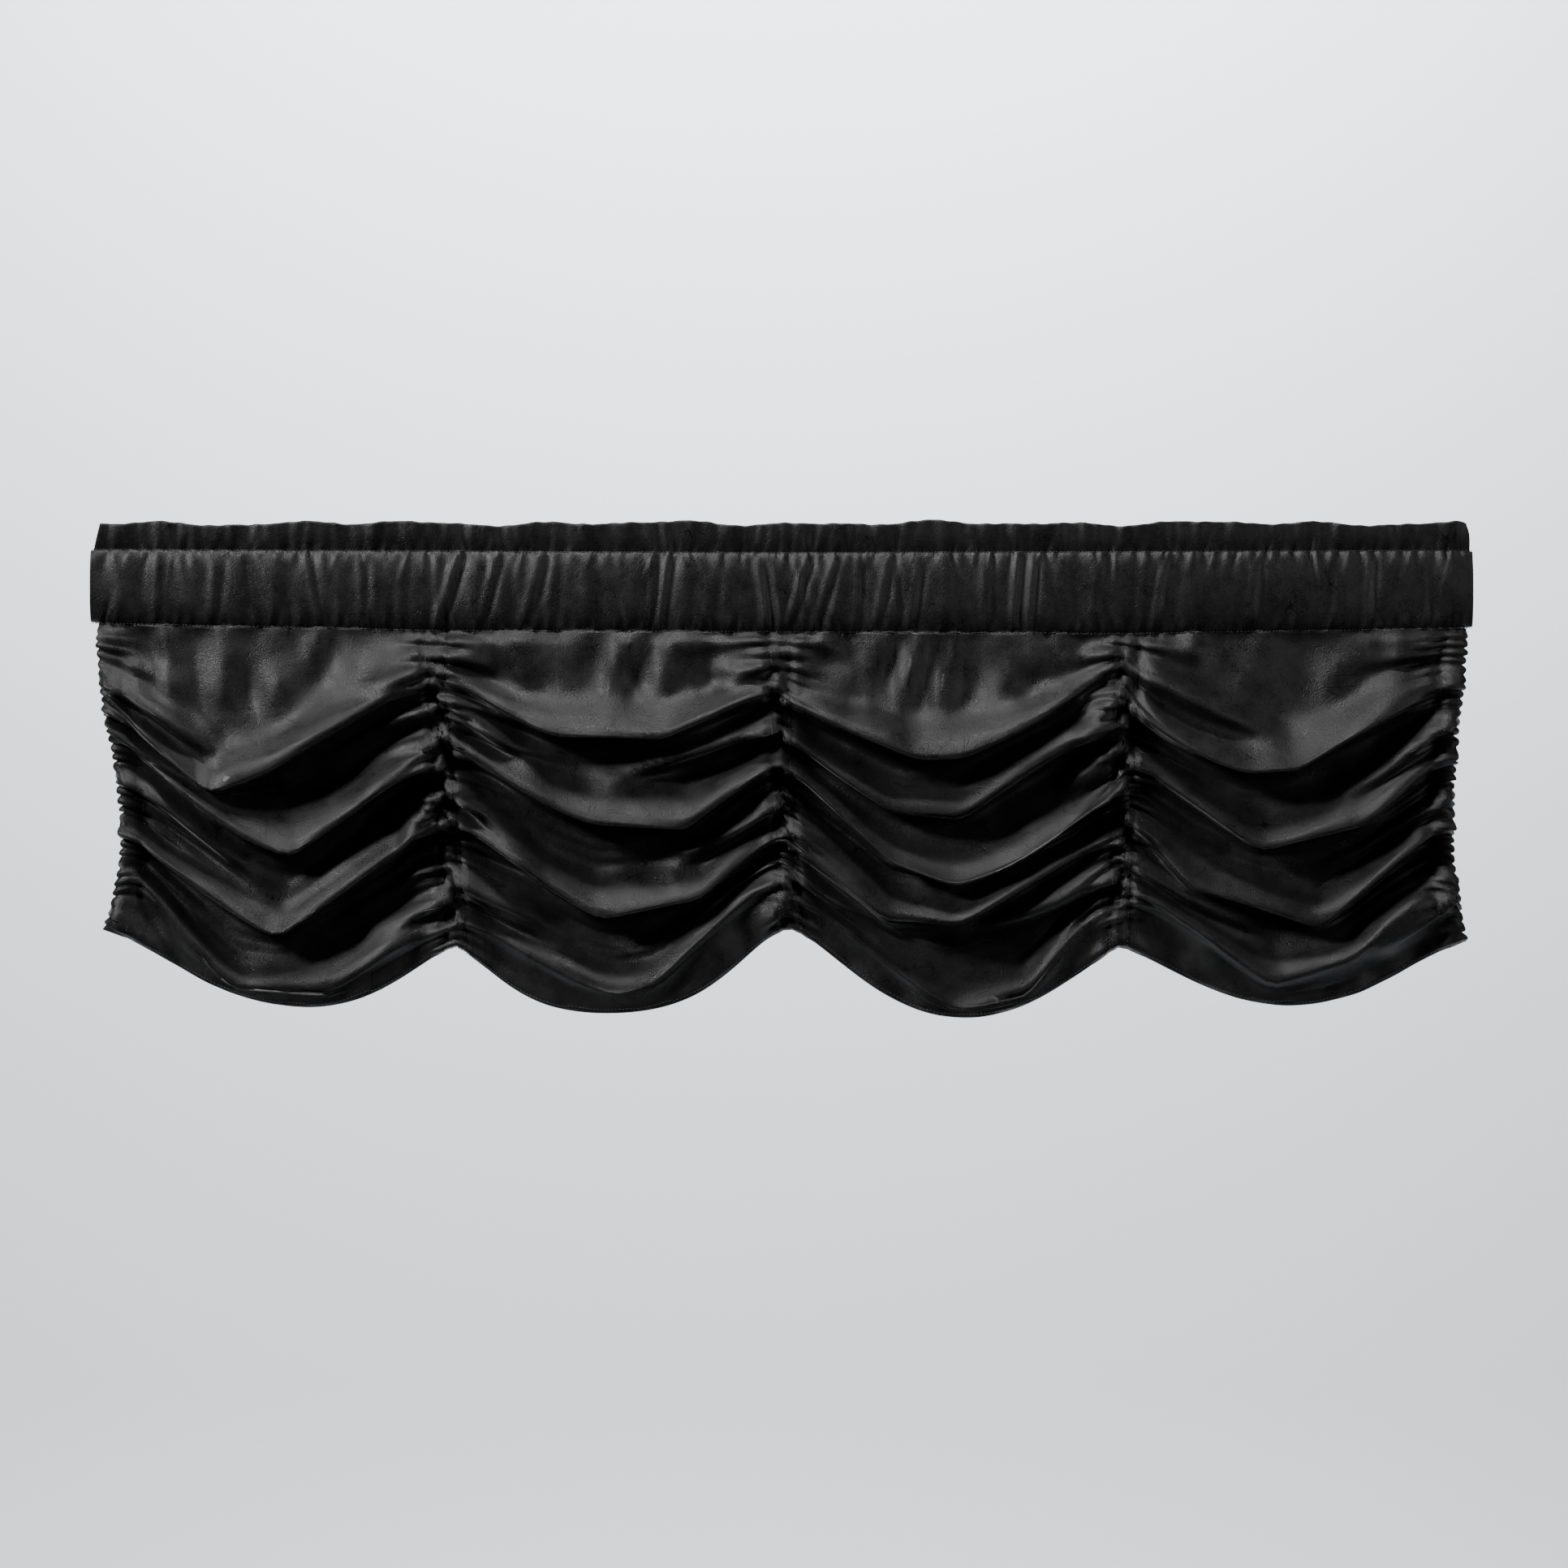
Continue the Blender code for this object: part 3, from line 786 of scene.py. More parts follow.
    def ridge(self, above: Array, off: Array, roundness: float, hangs: bool = False) -> Array:
        """A ridge's height as a share of its crest: a long slope above it, a hollow below it.

        Args:
            above: How far each point lies above the crest.
            off: Its distance from the nearer gather.
            roundness: How round the crest is.
            hangs: Whether the cloth below hangs straight, as it does above the hem.

        Returns:
            The shares.
        """
        opened = 1 - np.exp(-((off / self.reach_run) ** self.open_power))
        up, down = self.grown(self.reach_up, opened), self.grown(self.reach_down, opened)
        power, fall = self.grown(self.up_power, opened), self.grown(self.down_power, opened)
        roundness = roundness * self.crisp
        away = np.hypot(above, roundness) - roundness
        higher, lower = np.exp(-((away / up) ** power)), np.exp(-((away / down) ** fall))
        higher = (1 - self.roll) * higher + self.roll * np.exp(-((away / self.roll_run) ** self.roll_power))
        if hangs:
            lower = self.hem_dip * lower + (1 - self.hem_dip) * np.exp(-away / self.hem_reach)
        return np.where(above > 0, higher, lower)

    def stands_out(self, off: Array) -> Array:
        """The share of its full height that a ridge has this far from the gather."""
        return self.gather_share + (1 - self.gather_share) * (1 - np.exp(-((off / self.gather_run) ** 1.35)))

    def ridges(self, swag: int, across: Array, drop: Array) -> Array:
        """How far the swag's lips and dying folds carry the cloth forward."""
        shape = SWAGS[swag]
        width = self.swag_width(swag)
        off = width * np.minimum(across, 1 - across)
        total, riding = np.zeros_like(drop), np.zeros_like(drop)
        for lip in shape.lips:
            above = self.lip_drop(swag, lip, across) - drop
            hangs = lip is shape.lips[-1]
            height = lip.proud * self.stands_out(off) * self.ridge(above, off, lip.round, hangs)
            total += height**self.blend_power
        for fold in shape.folds:
            tip = self.share_across(swag, fold.tip_x, fold.tip)
            run = across / tip if fold.side is Side.LEFT else (1 - across) / (1 - tip)
            lasting = np.clip(run, 0, 1)
            above = fold.start + (fold.tip - fold.start) * self.leg(lasting, fold.bow) - drop
            begins = self.fold_begin + (1 - self.fold_begin) * (1 - np.exp(-width * lasting / self.fold_run))
            height = fold.proud * begins * (1 - lasting**3) * (run > 0)
            riding += height * self.rope(above, width * lasting)
        below = np.maximum(drop - self.seam_drop(swag, across), 0.0)
        ramp = 1 - np.exp(-((below / self.seam_run) ** self.seam_power))
        rise, fall, aside = self.puff_runs
        fuller = self.seam_puff * (1 - np.exp(-below / rise)) * np.exp(-below / fall)
        fuller = fuller * (1 - np.exp(-off / aside))
        full = total ** (1 / self.blend_power) + self.fold_share * riding
        full = full + self.bulge * np.sin(math.pi * across)
        full = full + self.gather_puff * bell(off / self.gather_wide)
        return fuller + ramp * full

    def rope(self, above: Array, off: Array) -> Array:
        """A dying fold's height as a share of its crest: soft above it, steep below it."""
        wider = 1 - np.exp(-off / self.rope_run)
        up, down = self.grown(self.rope_up, wider), self.grown(self.rope_down, wider)
        return np.exp(-((np.abs(above) / np.where(above > 0, up, down)) ** self.rope_power))

    def hang(self, forward: Array) -> Array:
        """How far cloth that stands forward sags under its own weight."""
        return self.droop * (forward / self.droop_at) ** 2

    def puckers(self, gather: int, side: int, place: Array, off: Array) -> Array:
        """The puckers at one gather.

        Args:
            gather: The gather's number.
            side: 0 on its right side, 1 on its left side.
            place: The rows' places.
            off: Distances from the gather.

        Returns:
            How far they stand forward, places by distances.
        """
        drop = self.gather_drop(gather, place)
        channel = self.channel_width(gather)
        beyond = np.maximum(off - channel, 0.0)[None, :]
        total = np.zeros((len(place), len(off)))
        knob, deep, groove_wide = 1.0, self.groove, self.groove_wide
        if self.at_edge(gather):
            head = lump((off - channel / 2) / (0.7 * channel))[None, :]
            knob = self.knob_least + (1 - self.knob_least) * head
            deep, groove_wide = self.edge_groove
        for at, gap, high, *sides in self.drawn[gather]:
            lasts, more = sides[2 * side : 2 * side + 2]
            from_it = drop[:, None] - at
            wide = self.pucker_wide * gap * (1 + beyond / self.pucker_widen[more > 0])
            rises = 1 - np.exp(-beyond / self.pucker_rise)
            head_fades = np.exp(-((beyond / (self.pucker_head * gap)) ** 2))
            total += high * knob * lump(2 * from_it / gap) * head_fades
            tail_fades = np.exp(-((beyond / lasts) ** 1.5))
            total += (self.pucker_tail * high + more) * rises * bell(from_it / wide) * tail_fades
        begun = np.clip((drop - drop[0]) / self.pucker_begin, 0, 1)[:, None]
        crown = self.crown * np.clip(1 - (off / channel) ** 2, 0, 1)[None, :]
        groove = deep * bell((off[None, :] - channel) / groove_wide)
        return begun * (total + crown - groove - self.dimple * np.exp(-beyond / self.dimple_run))

    def channel_width(self, gather: int) -> float:
        """How far from a gather's line its stitches run."""
        return self.edge_channel if self.at_edge(gather) else self.channel

    def rim_wave(self, gather: int, place: Array) -> Array:
        """How far a side edge's puckers push it outwards."""
        drop = self.gather_drop(gather, place)
        total = np.zeros_like(drop)
        for at, gap, high, *_ in self.drawn[gather]:
            share = self.edge_wave_least + (1 - self.edge_wave_least) * high / self.edge_high[1]
            total = np.maximum(total, share * lump(2 * (drop - at) / gap))
        return self.edge_wave * (total - self.edge_wave_middle)

    def tucks(self, x: Array, below: Array) -> Array:
        """The soft upright folds and small puckers under the pocket's seam."""
        total = np.zeros_like(x)
        for tuck in TUCKS:
            wide = max(self.tuck_wider * tuck.wide, self.tuck_least)
            near = bell((x - tuck.x - tuck.lean * below) / wide)
            begun = 1 - (1.0 if tuck.high < 0 else 0.5) * np.exp(-below / self.tuck_begin)
            total += self.tuck_higher * tuck.high * near * np.exp(-((below / tuck.long) ** 2)) * begun
        wander = wave_sum(x, self.seam_wander)
        total += self.seam_depth * puff(x / self.seam_pitch + wander) * np.exp(-below / self.seam_fade)
        return total

    def sag(self, swag: int, place: Array, across: Array) -> Array:
        """How far the rows at the lips sag, shared out evenly over the rows between them."""
        stops = np.arange(len(self.rows_between) + 1, dtype=float)
        drop = self.row_drop(swag, stops, across)
        hung = self.hang(self.ridges(swag, np.broadcast_to(across, drop.shape), drop))
        first = np.minimum(place.astype(int), len(stops) - 2)
        between = (place - first)[:, None]
        return hung[first] * (1 - between) + hung[first + 1] * between

    def block(self, swag: int, place: Array, across: Array) -> Array:
        """A swag's part of the cloth's middle surface.

        Args:
            swag: The swag's number.
            place: The rows' places.
            across: The columns' shares across the swag.

        Returns:
            The points, places by shares by 3.
        """
        wrinkle = Ripple(self.seed, 1.2, 3.6, 0.35)
        crease = Ripple(self.seed + 1, 3.5, 8.0, 0.3, 20)
        swell = Ripple(self.seed + 2, 0.15, 0.9, 1.6)
        dent = Ripple(self.seed + 3, 0.3, 1.6, 1.0, 18)
        width = self.swag_width(swag)
        drop = self.row_drop(swag, place, across)
        off = width * np.minimum(across, 1 - across)
        quiet = 1 - np.exp(-off / self.quiet_run)[None, :]
        shares = np.broadcast_to(across, drop.shape)
        down = place[:, None]
        begun = np.clip(down * 2, 0, 1)
        low = np.clip((down - 0.6) * 2, 0, 1) * (1 - 0.85 * np.clip((down - 3.9) / 0.4, 0, 1))
        ending = np.clip((len(self.rows_between) - down) * 2, 0, 1)
        drop = drop + self.swell_high * swell.at(shares + 1.3 * swag, down) * quiet * begun * ending
        forward = self.ridges(swag, shares, drop)
        drop = drop + self.hang(forward) - self.sag(swag, place, across)
        left, right = self.gather_x(swag, drop), self.gather_x(swag + 1, drop)
        x = left + (right - left) * shares
        below = np.maximum(drop - self.seam_drop(swag, shares), 0.0)
        dents = self.dent_high * dent.at(x / self.dent_cell[0], drop / self.dent_cell[1])
        forward = forward + begun * (
            self.wrinkle_high * wrinkle.at(shares + 2.7 * swag, down) * quiet * low
            + self.crease_high * crease.at(shares + 1.9 * swag, down) * low
            + dents * quiet * (1 - 0.7 * low)
        )
        for side in (0, 1):
            away = width * np.abs(across - side)
            bumps = self.puckers(swag + side, side, place, away)
            forward = forward + bumps
            drop = drop + self.pucker_sag * bumps
            if self.at_edge(swag + side):
                rim = self.rim_wave(swag + side, place) * np.clip(place * 3, 0, 1)
                x = x + (2 * side - 1) * rim[:, None] * np.exp(-away / self.edge_wave_run)
        forward = forward + self.tucks(x, below)
        from_edge = np.maximum(self.width / 2 - np.abs(x), 0.0)
        back = self.edge_turn * np.minimum(down, 2.0) / 2 * np.exp(-from_edge / self.edge_run)
        return np.stack((x, back - forward, -drop - self.gap), axis=-1)

    def shape(self) -> None:
        """Works out the cloth's middle surface, its normals and its flat places."""
        places = [0.0]
        for step, count in enumerate(self.rows_between):
            places.extend(step + (np.arange(1, count + 1) / count) ** self.row_crowd)
        place, across = np.array(places), self.column_shares()
        blocks = [self.block(swag, place, across)[:, min(swag, 1) :] for swag in range(len(SWAGS))]
        middle = self.middle = np.concatenate(blocks, axis=1)
        self.normal = grid_normals(middle)
        steps = np.linalg.norm(np.diff(middle, axis=0), axis=2)
        length = np.concatenate((np.zeros((1, middle.shape[1])), np.cumsum(steps, axis=0))) * MM
        span = np.linspace(0.0, self.flat_wide, middle.shape[1])
        self.flat = np.stack((np.broadcast_to(span, length.shape), length), axis=-1)
        self.hem_off = (length[-1][None, :] - length) / MM

    def build(self, material: bpy.types.Material) -> bpy.types.Object:
        """Makes the cloth.

        Args:
            material: The velvet.

        Returns:
            The cloth's object.
        """
        self.shape()
        turned = 1 / (1 + np.exp((self.hem_off - self.hem_deep) / self.hem_ease))
        thick = self.thick + (self.hem_thick - self.thick) * turned
        made = sheet_mesh("swag_velvet", self.middle, thick, self.flat, material)
        rows, columns = self.middle.shape[:2]
        index = np.arange(rows * columns).reshape(rows, columns)
        still = np.concatenate((index[:2].ravel(), index[-1], index[:, 0], index[:, -1]))
        behind = np.arange(rows * columns, len(made.data.vertices))
        # The fold attribute marks where the velvet paints a crest highlight and crease shade.
        mark_painted_light(made, self.painted_light_share, np.concatenate((still, behind)))
        return made

    def on_face(self, rows: Array, columns: Array, lift: float) -> Array:
        """Points a little in front of the cloth, at fractional rows and columns of its grid.

        Args:
            rows: The rows.
            columns: The columns.
            lift: How far in front of the cloth's middle surface.

        Returns:
            The points, n by 3.
        """
        r0 = np.clip(rows.astype(int), 0, self.middle.shape[0] - 2)
        c0 = np.clip(columns.astype(int), 0, self.middle.shape[1] - 2)
        fr, fc = (rows - r0)[:, None], (columns - c0)[:, None]
        front = self.middle - self.normal * lift * self.front_sign()
        top = front[r0, c0] * (1 - fc) + front[r0, c0 + 1] * fc
        low = front[r0 + 1, c0] * (1 - fc) + front[r0 + 1, c0 + 1] * fc
        return top * (1 - fr) + low * fr

    def front_sign(self) -> float:
        """Which way the grid's normals point: 1 to the back, -1 to the front."""
        return 1.0 if float(self.normal[..., 1].mean()) > 0 else -1.0

    def stitch_lines(self) -> list[Array]:
        """The cloth's lines of stitches: two at each gather and one above the hem's edge."""
        rows = np.arange(0, self.middle.shape[0] - 1, 1.0)
        lines = []
        for gather in range(len(GATHERS)):
            for side in (-1, 1):
                column = gather * self.columns + side * self.stitch_column(gather)
                if 0 <= column <= self.middle.shape[1] - 1:
                    lift = self.thick / 2 + self.stitch_lift
                    lines.append(self.on_face(rows, np.full_like(rows, column), lift))
        columns = np.arange(0, self.middle.shape[1] - 1, 1.0)
        near = np.abs(self.hem_off - self.hem_stitch).argmin(axis=0).astype(float)
        lines.append(self.on_face(near[columns.astype(int)], columns, self.hem_thick / 2 + self.stitch_lift))
        return lines

    def stitch_column(self, gather: int) -> float:
        """How many columns from a gather its stitches run."""
        off = self.column_shares() * self.swag_width(1)
        return float(np.interp(self.channel_width(gather), off, np.arange(self.columns + 1)))


@dataclass(frozen=True)
class Flute:
    """A crease that runs the pocket's whole height.

    Args:
        top: Its x at the upper seam.
        bottom: Its x at the lower seam.
        high: How far it stands forward.
        wide: Its half width.
    """

    top: float
    bottom: float
    high: float
    wide: float


FLUTES = tuple(
    Flute(*row)
    for row in (
        (-574.0, -577.0, 1.0, 4.0), (-518.0, -527.0, 1.2, 5.0), (-387.0, -387.0, 1.0, 4.0),
        (-296.0, -320.0, 2.4, 5.0), (-261.0, -280.0, 1.6, 4.0), (-219.0, -241.0, 1.5, 5.0),
        (-104.0, -114.0, 1.4, 4.0), (-25.0, -13.0, 1.5, 4.0), (25.0, 3.0, 1.6, 4.0), (50.0, 28.0, 1.4, 4.0),
        (99.0, 84.0, 1.4, 4.0), (127.0, 116.0, 1.3, 4.0), (217.0, 211.0, 1.6, 4.0),
        (231.0, 226.0, 1.4, 3.5), (352.0, 340.0, 1.3, 4.0), (437.0, 428.0, 1.1, 5.0),
        (541.0, 536.0, 1.2, 4.0),
    )
)


@dataclass
class Header:
    """The pocket's seams, and the puckers and creases that the pocket and the frill share.

    Pairs of sizes are the least and the most that are drawn.
    """

    upper: float = 26.5
    sag: tuple[float, ...] = (0.0, 1.5, 3.0, 2.0, 1.0)
    pitch: tuple[float, float] = (4.0, 11.0)
    ridge_long: tuple[float, float] = (8.0, 27.0)
    ridge_high: tuple[float, float] = (0.7, 2.6)
    crease_long: tuple[float, float] = (6.0, 18.0)
    crease_deep: tuple[float, float] = (1.2, 3.4)
    wide: tuple[float, float] = (1.3, 2.9)
    seed: int = 5
    soft_pitch: tuple[float, float] = (12.0, 38.0)
    soft_high: tuple[float, float] = (0.3, 1.1)
    soft_wide: tuple[float, float] = (3.0, 7.5)
    soft_lean: float = 6.0
    plain: tuple[float, float] = (-470.0, 370.0)
    flute_high: float = 1.4
    flute_dip: float = 0.9
    flute_off: float = 1.8
    pinch_lean: tuple[float, float] = (-0.4, 0.3)
    pinch_widen: float = 1.4
    broad: tuple[tuple[float, float, float], ...] = ((0.5, 47.0, 0.9), (0.45, 33.0, 3.6), (0.4, 96.0, 5.2))
    pinches: Array = field(init=False)
    flutes: list[Flute] = field(init=False)

    def __post_init__(self) -> None:
        """Draws the soft creases, then both seams' pinches: seam, x, length, half width, height and lean."""
        rng = np.random.default_rng(self.seed)
        self.flutes, x = list(FLUTES), -628.0
        while x < 625.0:
            x += rng.uniform(*self.soft_pitch)
            lean = rng.uniform(-self.soft_lean, self.soft_lean)
            high, wide = rng.uniform(*self.soft_high), rng.uniform(*self.soft_wide)
            high *= 1.0 if self.plain[0] < x < self.plain[1] else 0.35
            self.flutes.append(Flute(x + lean, x - lean, high, wide))
        rows = []
        for seam in (0, 1):
            x, ridge = -634.0, True
            while x < 630.0:
                x += rng.uniform(*self.pitch)
                size = rng.uniform() ** 1.6
                longs = self.ridge_long if ridge else self.crease_long
                highs = self.ridge_high if ridge else self.crease_deep
                height = highs[0] + (highs[1] - highs[0]) * (0.35 * size + 0.65 * rng.uniform())
                long, wide = longs[0] + (longs[1] - longs[0]) * size, rng.uniform(*self.wide)
                height = height if ridge else -height
                rows.append((seam, x, long, wide, height, rng.uniform(*self.pinch_lean)))
                ridge = not ridge
        self.pinches = np.array(rows)

    def seams(self, x: Array) -> tuple[Array, Array]:
        """The drops of the upper and lower seams at x."""
        at = [line.x[0] for line in GATHERS]
        return self.upper + np.interp(x, at, self.sag), np.interp(x, at, [line.seam for line in GATHERS])

    def relief(self, x: Array, height: Array) -> Array:
        """How far the pocket's puckers and creases stand forward.

        Args:
            x: The x of each point.
            height: Its share of the way up from the lower seam.

        Returns:
            The heights in millimetres.
        """
        upper, lower = self.seams(x)
        tall = lower - upper
        total = np.zeros_like(x)
        for flute in self.flutes:
            line = flute.bottom + (flute.top - flute.bottom) * height
            deeper = 0.6 + 0.8 * np.abs(height - 0.5)
            total += self.flute_high * flute.high * bell((x - line) / flute.wide) * deeper
            beside = bell((x - line - self.flute_off * flute.wide) / flute.wide)
            total -= self.flute_dip * flute.high * beside
        for seam, at, long, wide, high, lean in self.pinches:
            away = tall * (height if seam else 1 - height)
            slot = np.abs(x - at) < 4 * wide + 0.4 * long
            away = away[slot]
            near = x[slot] - at - (lean if seam else -lean) * away
            spread = wide * (1 + self.pinch_widen * away / long)
            total[slot] += high * bell(near / spread) * np.exp(-((away / long) ** 1.3))
        return total

    def waves(self, x: Array) -> Array:
        """Broad waves along the cloth, about -1 to 1."""
        return wave_sum(TAU * x, self.broad)


@dataclass
class RodPocket:
    """The tube of cloth that takes the rod, open at both ends and puckered along its seams."""

    header: Header
    width: float = 1271.0
    front: float = 8.0
    back: float = 12.5
    wall: float = 2.0
    square: float = 0.42
    front_square: float = 0.95
    front_crowd: float = 0.4
    columns: tuple[int, int] = (1150, 150)
    around: int = 56
    back_share: float = 0.6
    end_in: float = 0.035
    end_run: float = 7.0
    wave_depth: float = 0.7
    least_relief: float = 0.35
    scallop: float = 0.5
    scallop_range: tuple[float, float] = (-2.0, 3.0)
    # How strongly fold sharpness places the velvet's painted crest highlight and painted crease shade on the
    # pocket.
    fold_share: float = 0.4
    fullness: float = 1.15

    def ring(self, columns: int, inset: float) -> Array:
        """The tube's outer or inner wall.

        Args:
            columns: How many steps it has along the tube.
            inset: How far inside the outer wall it lies.

        Returns:
            The points, columns by around by 3.
        """
        x = np.linspace(-self.width / 2, self.width / 2, columns + 1)[:, None]
        angle = np.linspace(0.0, TAU, self.around, endpoint=False)[None, :]
        angle = angle - self.front_crowd * np.sin(angle)
        sine, cosine = np.sin(angle), np.cos(angle)
        upper, lower = self.header.seams(x)
        middle, half = (upper + lower) / 2, (lower - upper) / 2
        forward = np.sign(cosine) * np.abs(cosine) ** np.where(cosine > 0, self.front_square, self.square)
        up = np.sign(sine) * np.abs(sine) ** (2 * self.square)
        wide = np.broadcast_to(x, np.broadcast(x, angle).shape)
        tall = np.broadcast_to((up + 1) / 2, wide.shape)
        relief = self.header.relief(wide.ravel(), tall.ravel()).reshape(wide.shape)
        waves = self.wave_depth * self.header.waves(x) * np.abs(cosine)
        relief = relief * np.clip(self.least_relief + np.abs(cosine) * 3, 0, 1) + waves
        depth = np.where(forward > 0, self.front, self.back) - inset
        at_end = np.exp(-(self.width / 2 - np.abs(x)) / self.end_run)
        y = -(forward * (depth + relief * np.where(forward > 0, 1.0, self.back_share)))
        z = -middle + up * (half - inset) * (1 - self.end_in * at_end)
        z = z + self.scallop * np.clip(relief, *self.scallop_range) * np.maximum(sine, 0.0)
        return np.stack((wide, y, z), axis=-1)

    def build(self, material: bpy.types.Material) -> bpy.types.Object:
        """Makes the pocket.

        Args:
            material: The velvet.

        Returns:
            The pocket's object.
        """
        outer, inner = self.ring(self.columns[0], 0.0), self.ring(self.columns[1], self.wall)
        count = outer.shape[0] * self.around
        outside = grid_faces(outer.shape[0], self.around, Weld.AROUND)
        inside = grid_faces(inner.shape[0], self.around, Weld.AROUND, count)[:, ::-1]
        ends = []
        for row, inner_row, turn in ((0, 0, 1), (outer.shape[0] - 1, inner.shape[0] - 1, -1)):
            rim = row * self.around + np.arange(self.around)
            inner_rim = count + inner_row * self.around + np.arange(self.around)
            quads = np.stack((rim, np.roll(rim, -1), np.roll(inner_rim, -1), inner_rim), axis=-1)
            ends.append(quads[:, ::turn])
        faces = (outside, inside, *ends)
        points = np.concatenate((outer.reshape(-1, 3), inner.reshape(-1, 3)))
        flat = np.stack((points[:, 0] * self.fullness, points[:, 2]), axis=-1) * MM
        made = mesh_object("pocket_velvet", points, faces, flat, material)
        # The fold attribute marks where the velvet paints a crest highlight and crease shade.
        mark_painted_light(made, self.fold_share, np.arange(count, len(points)))
        return made

    def stitch_lines(self) -> list[Array]:
        """The two rows of stitching, in front of the seams."""
        x = np.linspace(-self.width / 2 + 2, self.width / 2 - 2, 640)
        upper, lower = self.header.seams(x)
        lines = []
        for drop, height in ((upper + 0.4, 1.0), (lower - 0.2, 0.0)):
            lift = self.header.relief(x, np.full_like(x, height)) * 0.6
            lines.append(np.stack((x, -2.2 - lift, -drop), axis=-1))
        return lines


@dataclass
class HeadingFrill:
    """The doubled cloth that stands above the pocket."""

    header: Header
    width: float = 1266.0
    thick: float = 4.0
    columns: int = 1150
    side_rows: int = 16
    wave: float = 2.6
    sway: float = 1.8
    lean: float = 2.5
    corner_in: float = 6.0
    corner_round: float = 3.0
    corner_runs: tuple[float, float, float] = (14.0, 6.0, 5.0)
    relief: float = 0.5
    relief_fade: float = 0.6
    # How strongly fold sharpness places the velvet's painted crest highlight and painted crease shade on the
    # frill.
    fold_share: float = 0.25
    ruffle: float = 0.8
    foot_ruffle: float = 0.35
    foot_thin: float = 0.55
    pinch_reach: float = 0.36
    tuck_in: float = 1.2
    belly: float = 0.9
    fullness: float = 1.15
    fine_share: float = 0.7
    rolls: tuple[tuple[float, float, float], ...] = ((0.5, 118.0, 0.4), (0.3, 71.0, 2.1), (0.4, 263.0, 4.4))
    fine: tuple[tuple[float, float, float], ...] = ((0.35, 23.0, 1.1), (0.25, 14.3, 0.0))
    ruffles: tuple[tuple[float, ...], ...] = ((0.5, 19.0, 2.0, 60.0), (0.35, 12.7, 3.0, 41.0))

    def top(self, x: Array) -> Array:
        """The top edge's height at x."""
        angle = TAU * x
        rolling = self.wave * wave_sum(angle, self.rolls)
        return rolling - self.wave + self.fine_share * wave_sum(angle, self.fine)

    def grid(self) -> Array:
        """The frill's surface, columns by points around by 3."""
        x = np.linspace(-self.width / 2, self.width / 2, self.columns + 1)[:, None]
        upper, _ = self.header.seams(x)
        up = np.linspace(0.0, 1.0, self.side_rows)
        turn = np.linspace(0.0, math.pi, 9)[1:-1]
        height = np.concatenate((up, np.ones_like(turn), up[::-1]))[None, :]
        half = self.thick / 2
        side = np.concatenate((np.full_like(up, -1.0), -np.cos(turn), np.full_like(up, 1.0)))[None, :]
        crown = np.concatenate((np.zeros_like(up), half * np.sin(turn), np.zeros_like(up)))[None, :]
        foot = -upper - self.tuck_in
        from_right = self.width / 2 - x
        left_run, right_run, low_run = self.corner_runs
        low = self.corner_round * np.exp(-(from_right / low_run))
        z = foot + (self.top(x) - low - half - foot) * height + crown
        wide = x + self.corner_in * height * np.exp(-(x + self.width / 2) / left_run)
        wide = wide - self.corner_round * height**4 * np.exp(-from_right / right_run)
        reach = np.broadcast_to(1 - self.pinch_reach * height, z.shape)
        relief = self.header.relief(wide.ravel(), reach.ravel()).reshape(z.shape)
        ruffle = sum(
            high * np.sin(TAU * x / long + swing * np.sin(x / over))
            for high, long, swing, over in self.ruffles
        )
        sway = self.sway * self.header.waves(x) * height
        sway = sway + self.ruffle * ruffle * (self.foot_ruffle + (1 - self.foot_ruffle) * height)
        belly = self.belly * np.sin(math.pi * height)
        front = np.where(side < 0, self.relief * relief * (1 - self.relief_fade * height), 0.0)
        depth = half * (self.foot_thin + (1 - self.foot_thin) * height) + belly
        y = side * depth - sway - front - self.lean * height
        return np.stack((wide, y, z), axis=-1)

    def build(self, material: bpy.types.Material) -> bpy.types.Object:
        """Makes the frill.

        Args:
            material: The velvet.

        Returns:
            The frill's object.
        """
        points = self.grid()
        around = points.shape[1]
        faces = [grid_faces(points.shape[0], around, Weld.AROUND)]
        for row, direction in ((0, 1), (points.shape[0] - 1, -1)):
            ring = row * around + np.arange(around)
            pairs = around // 2
            back = ring[::-1]
            quads = np.stack((ring[: pairs - 1], ring[1:pairs], back[1:pairs], back[: pairs - 1]), axis=-1)
            faces.append(quads[:, ::direction])
        points = points.reshape(-1, 3)
        flat = np.stack((points[:, 0] * self.fullness, points[:, 2]), axis=-1) * MM
        made = mesh_object("frill_velvet", points, faces, flat, material)
        # The fold attribute marks where the velvet paints a crest highlight and crease shade.
        mark_painted_light(made, self.fold_share, np.arange(0))
        return made


# Node trees


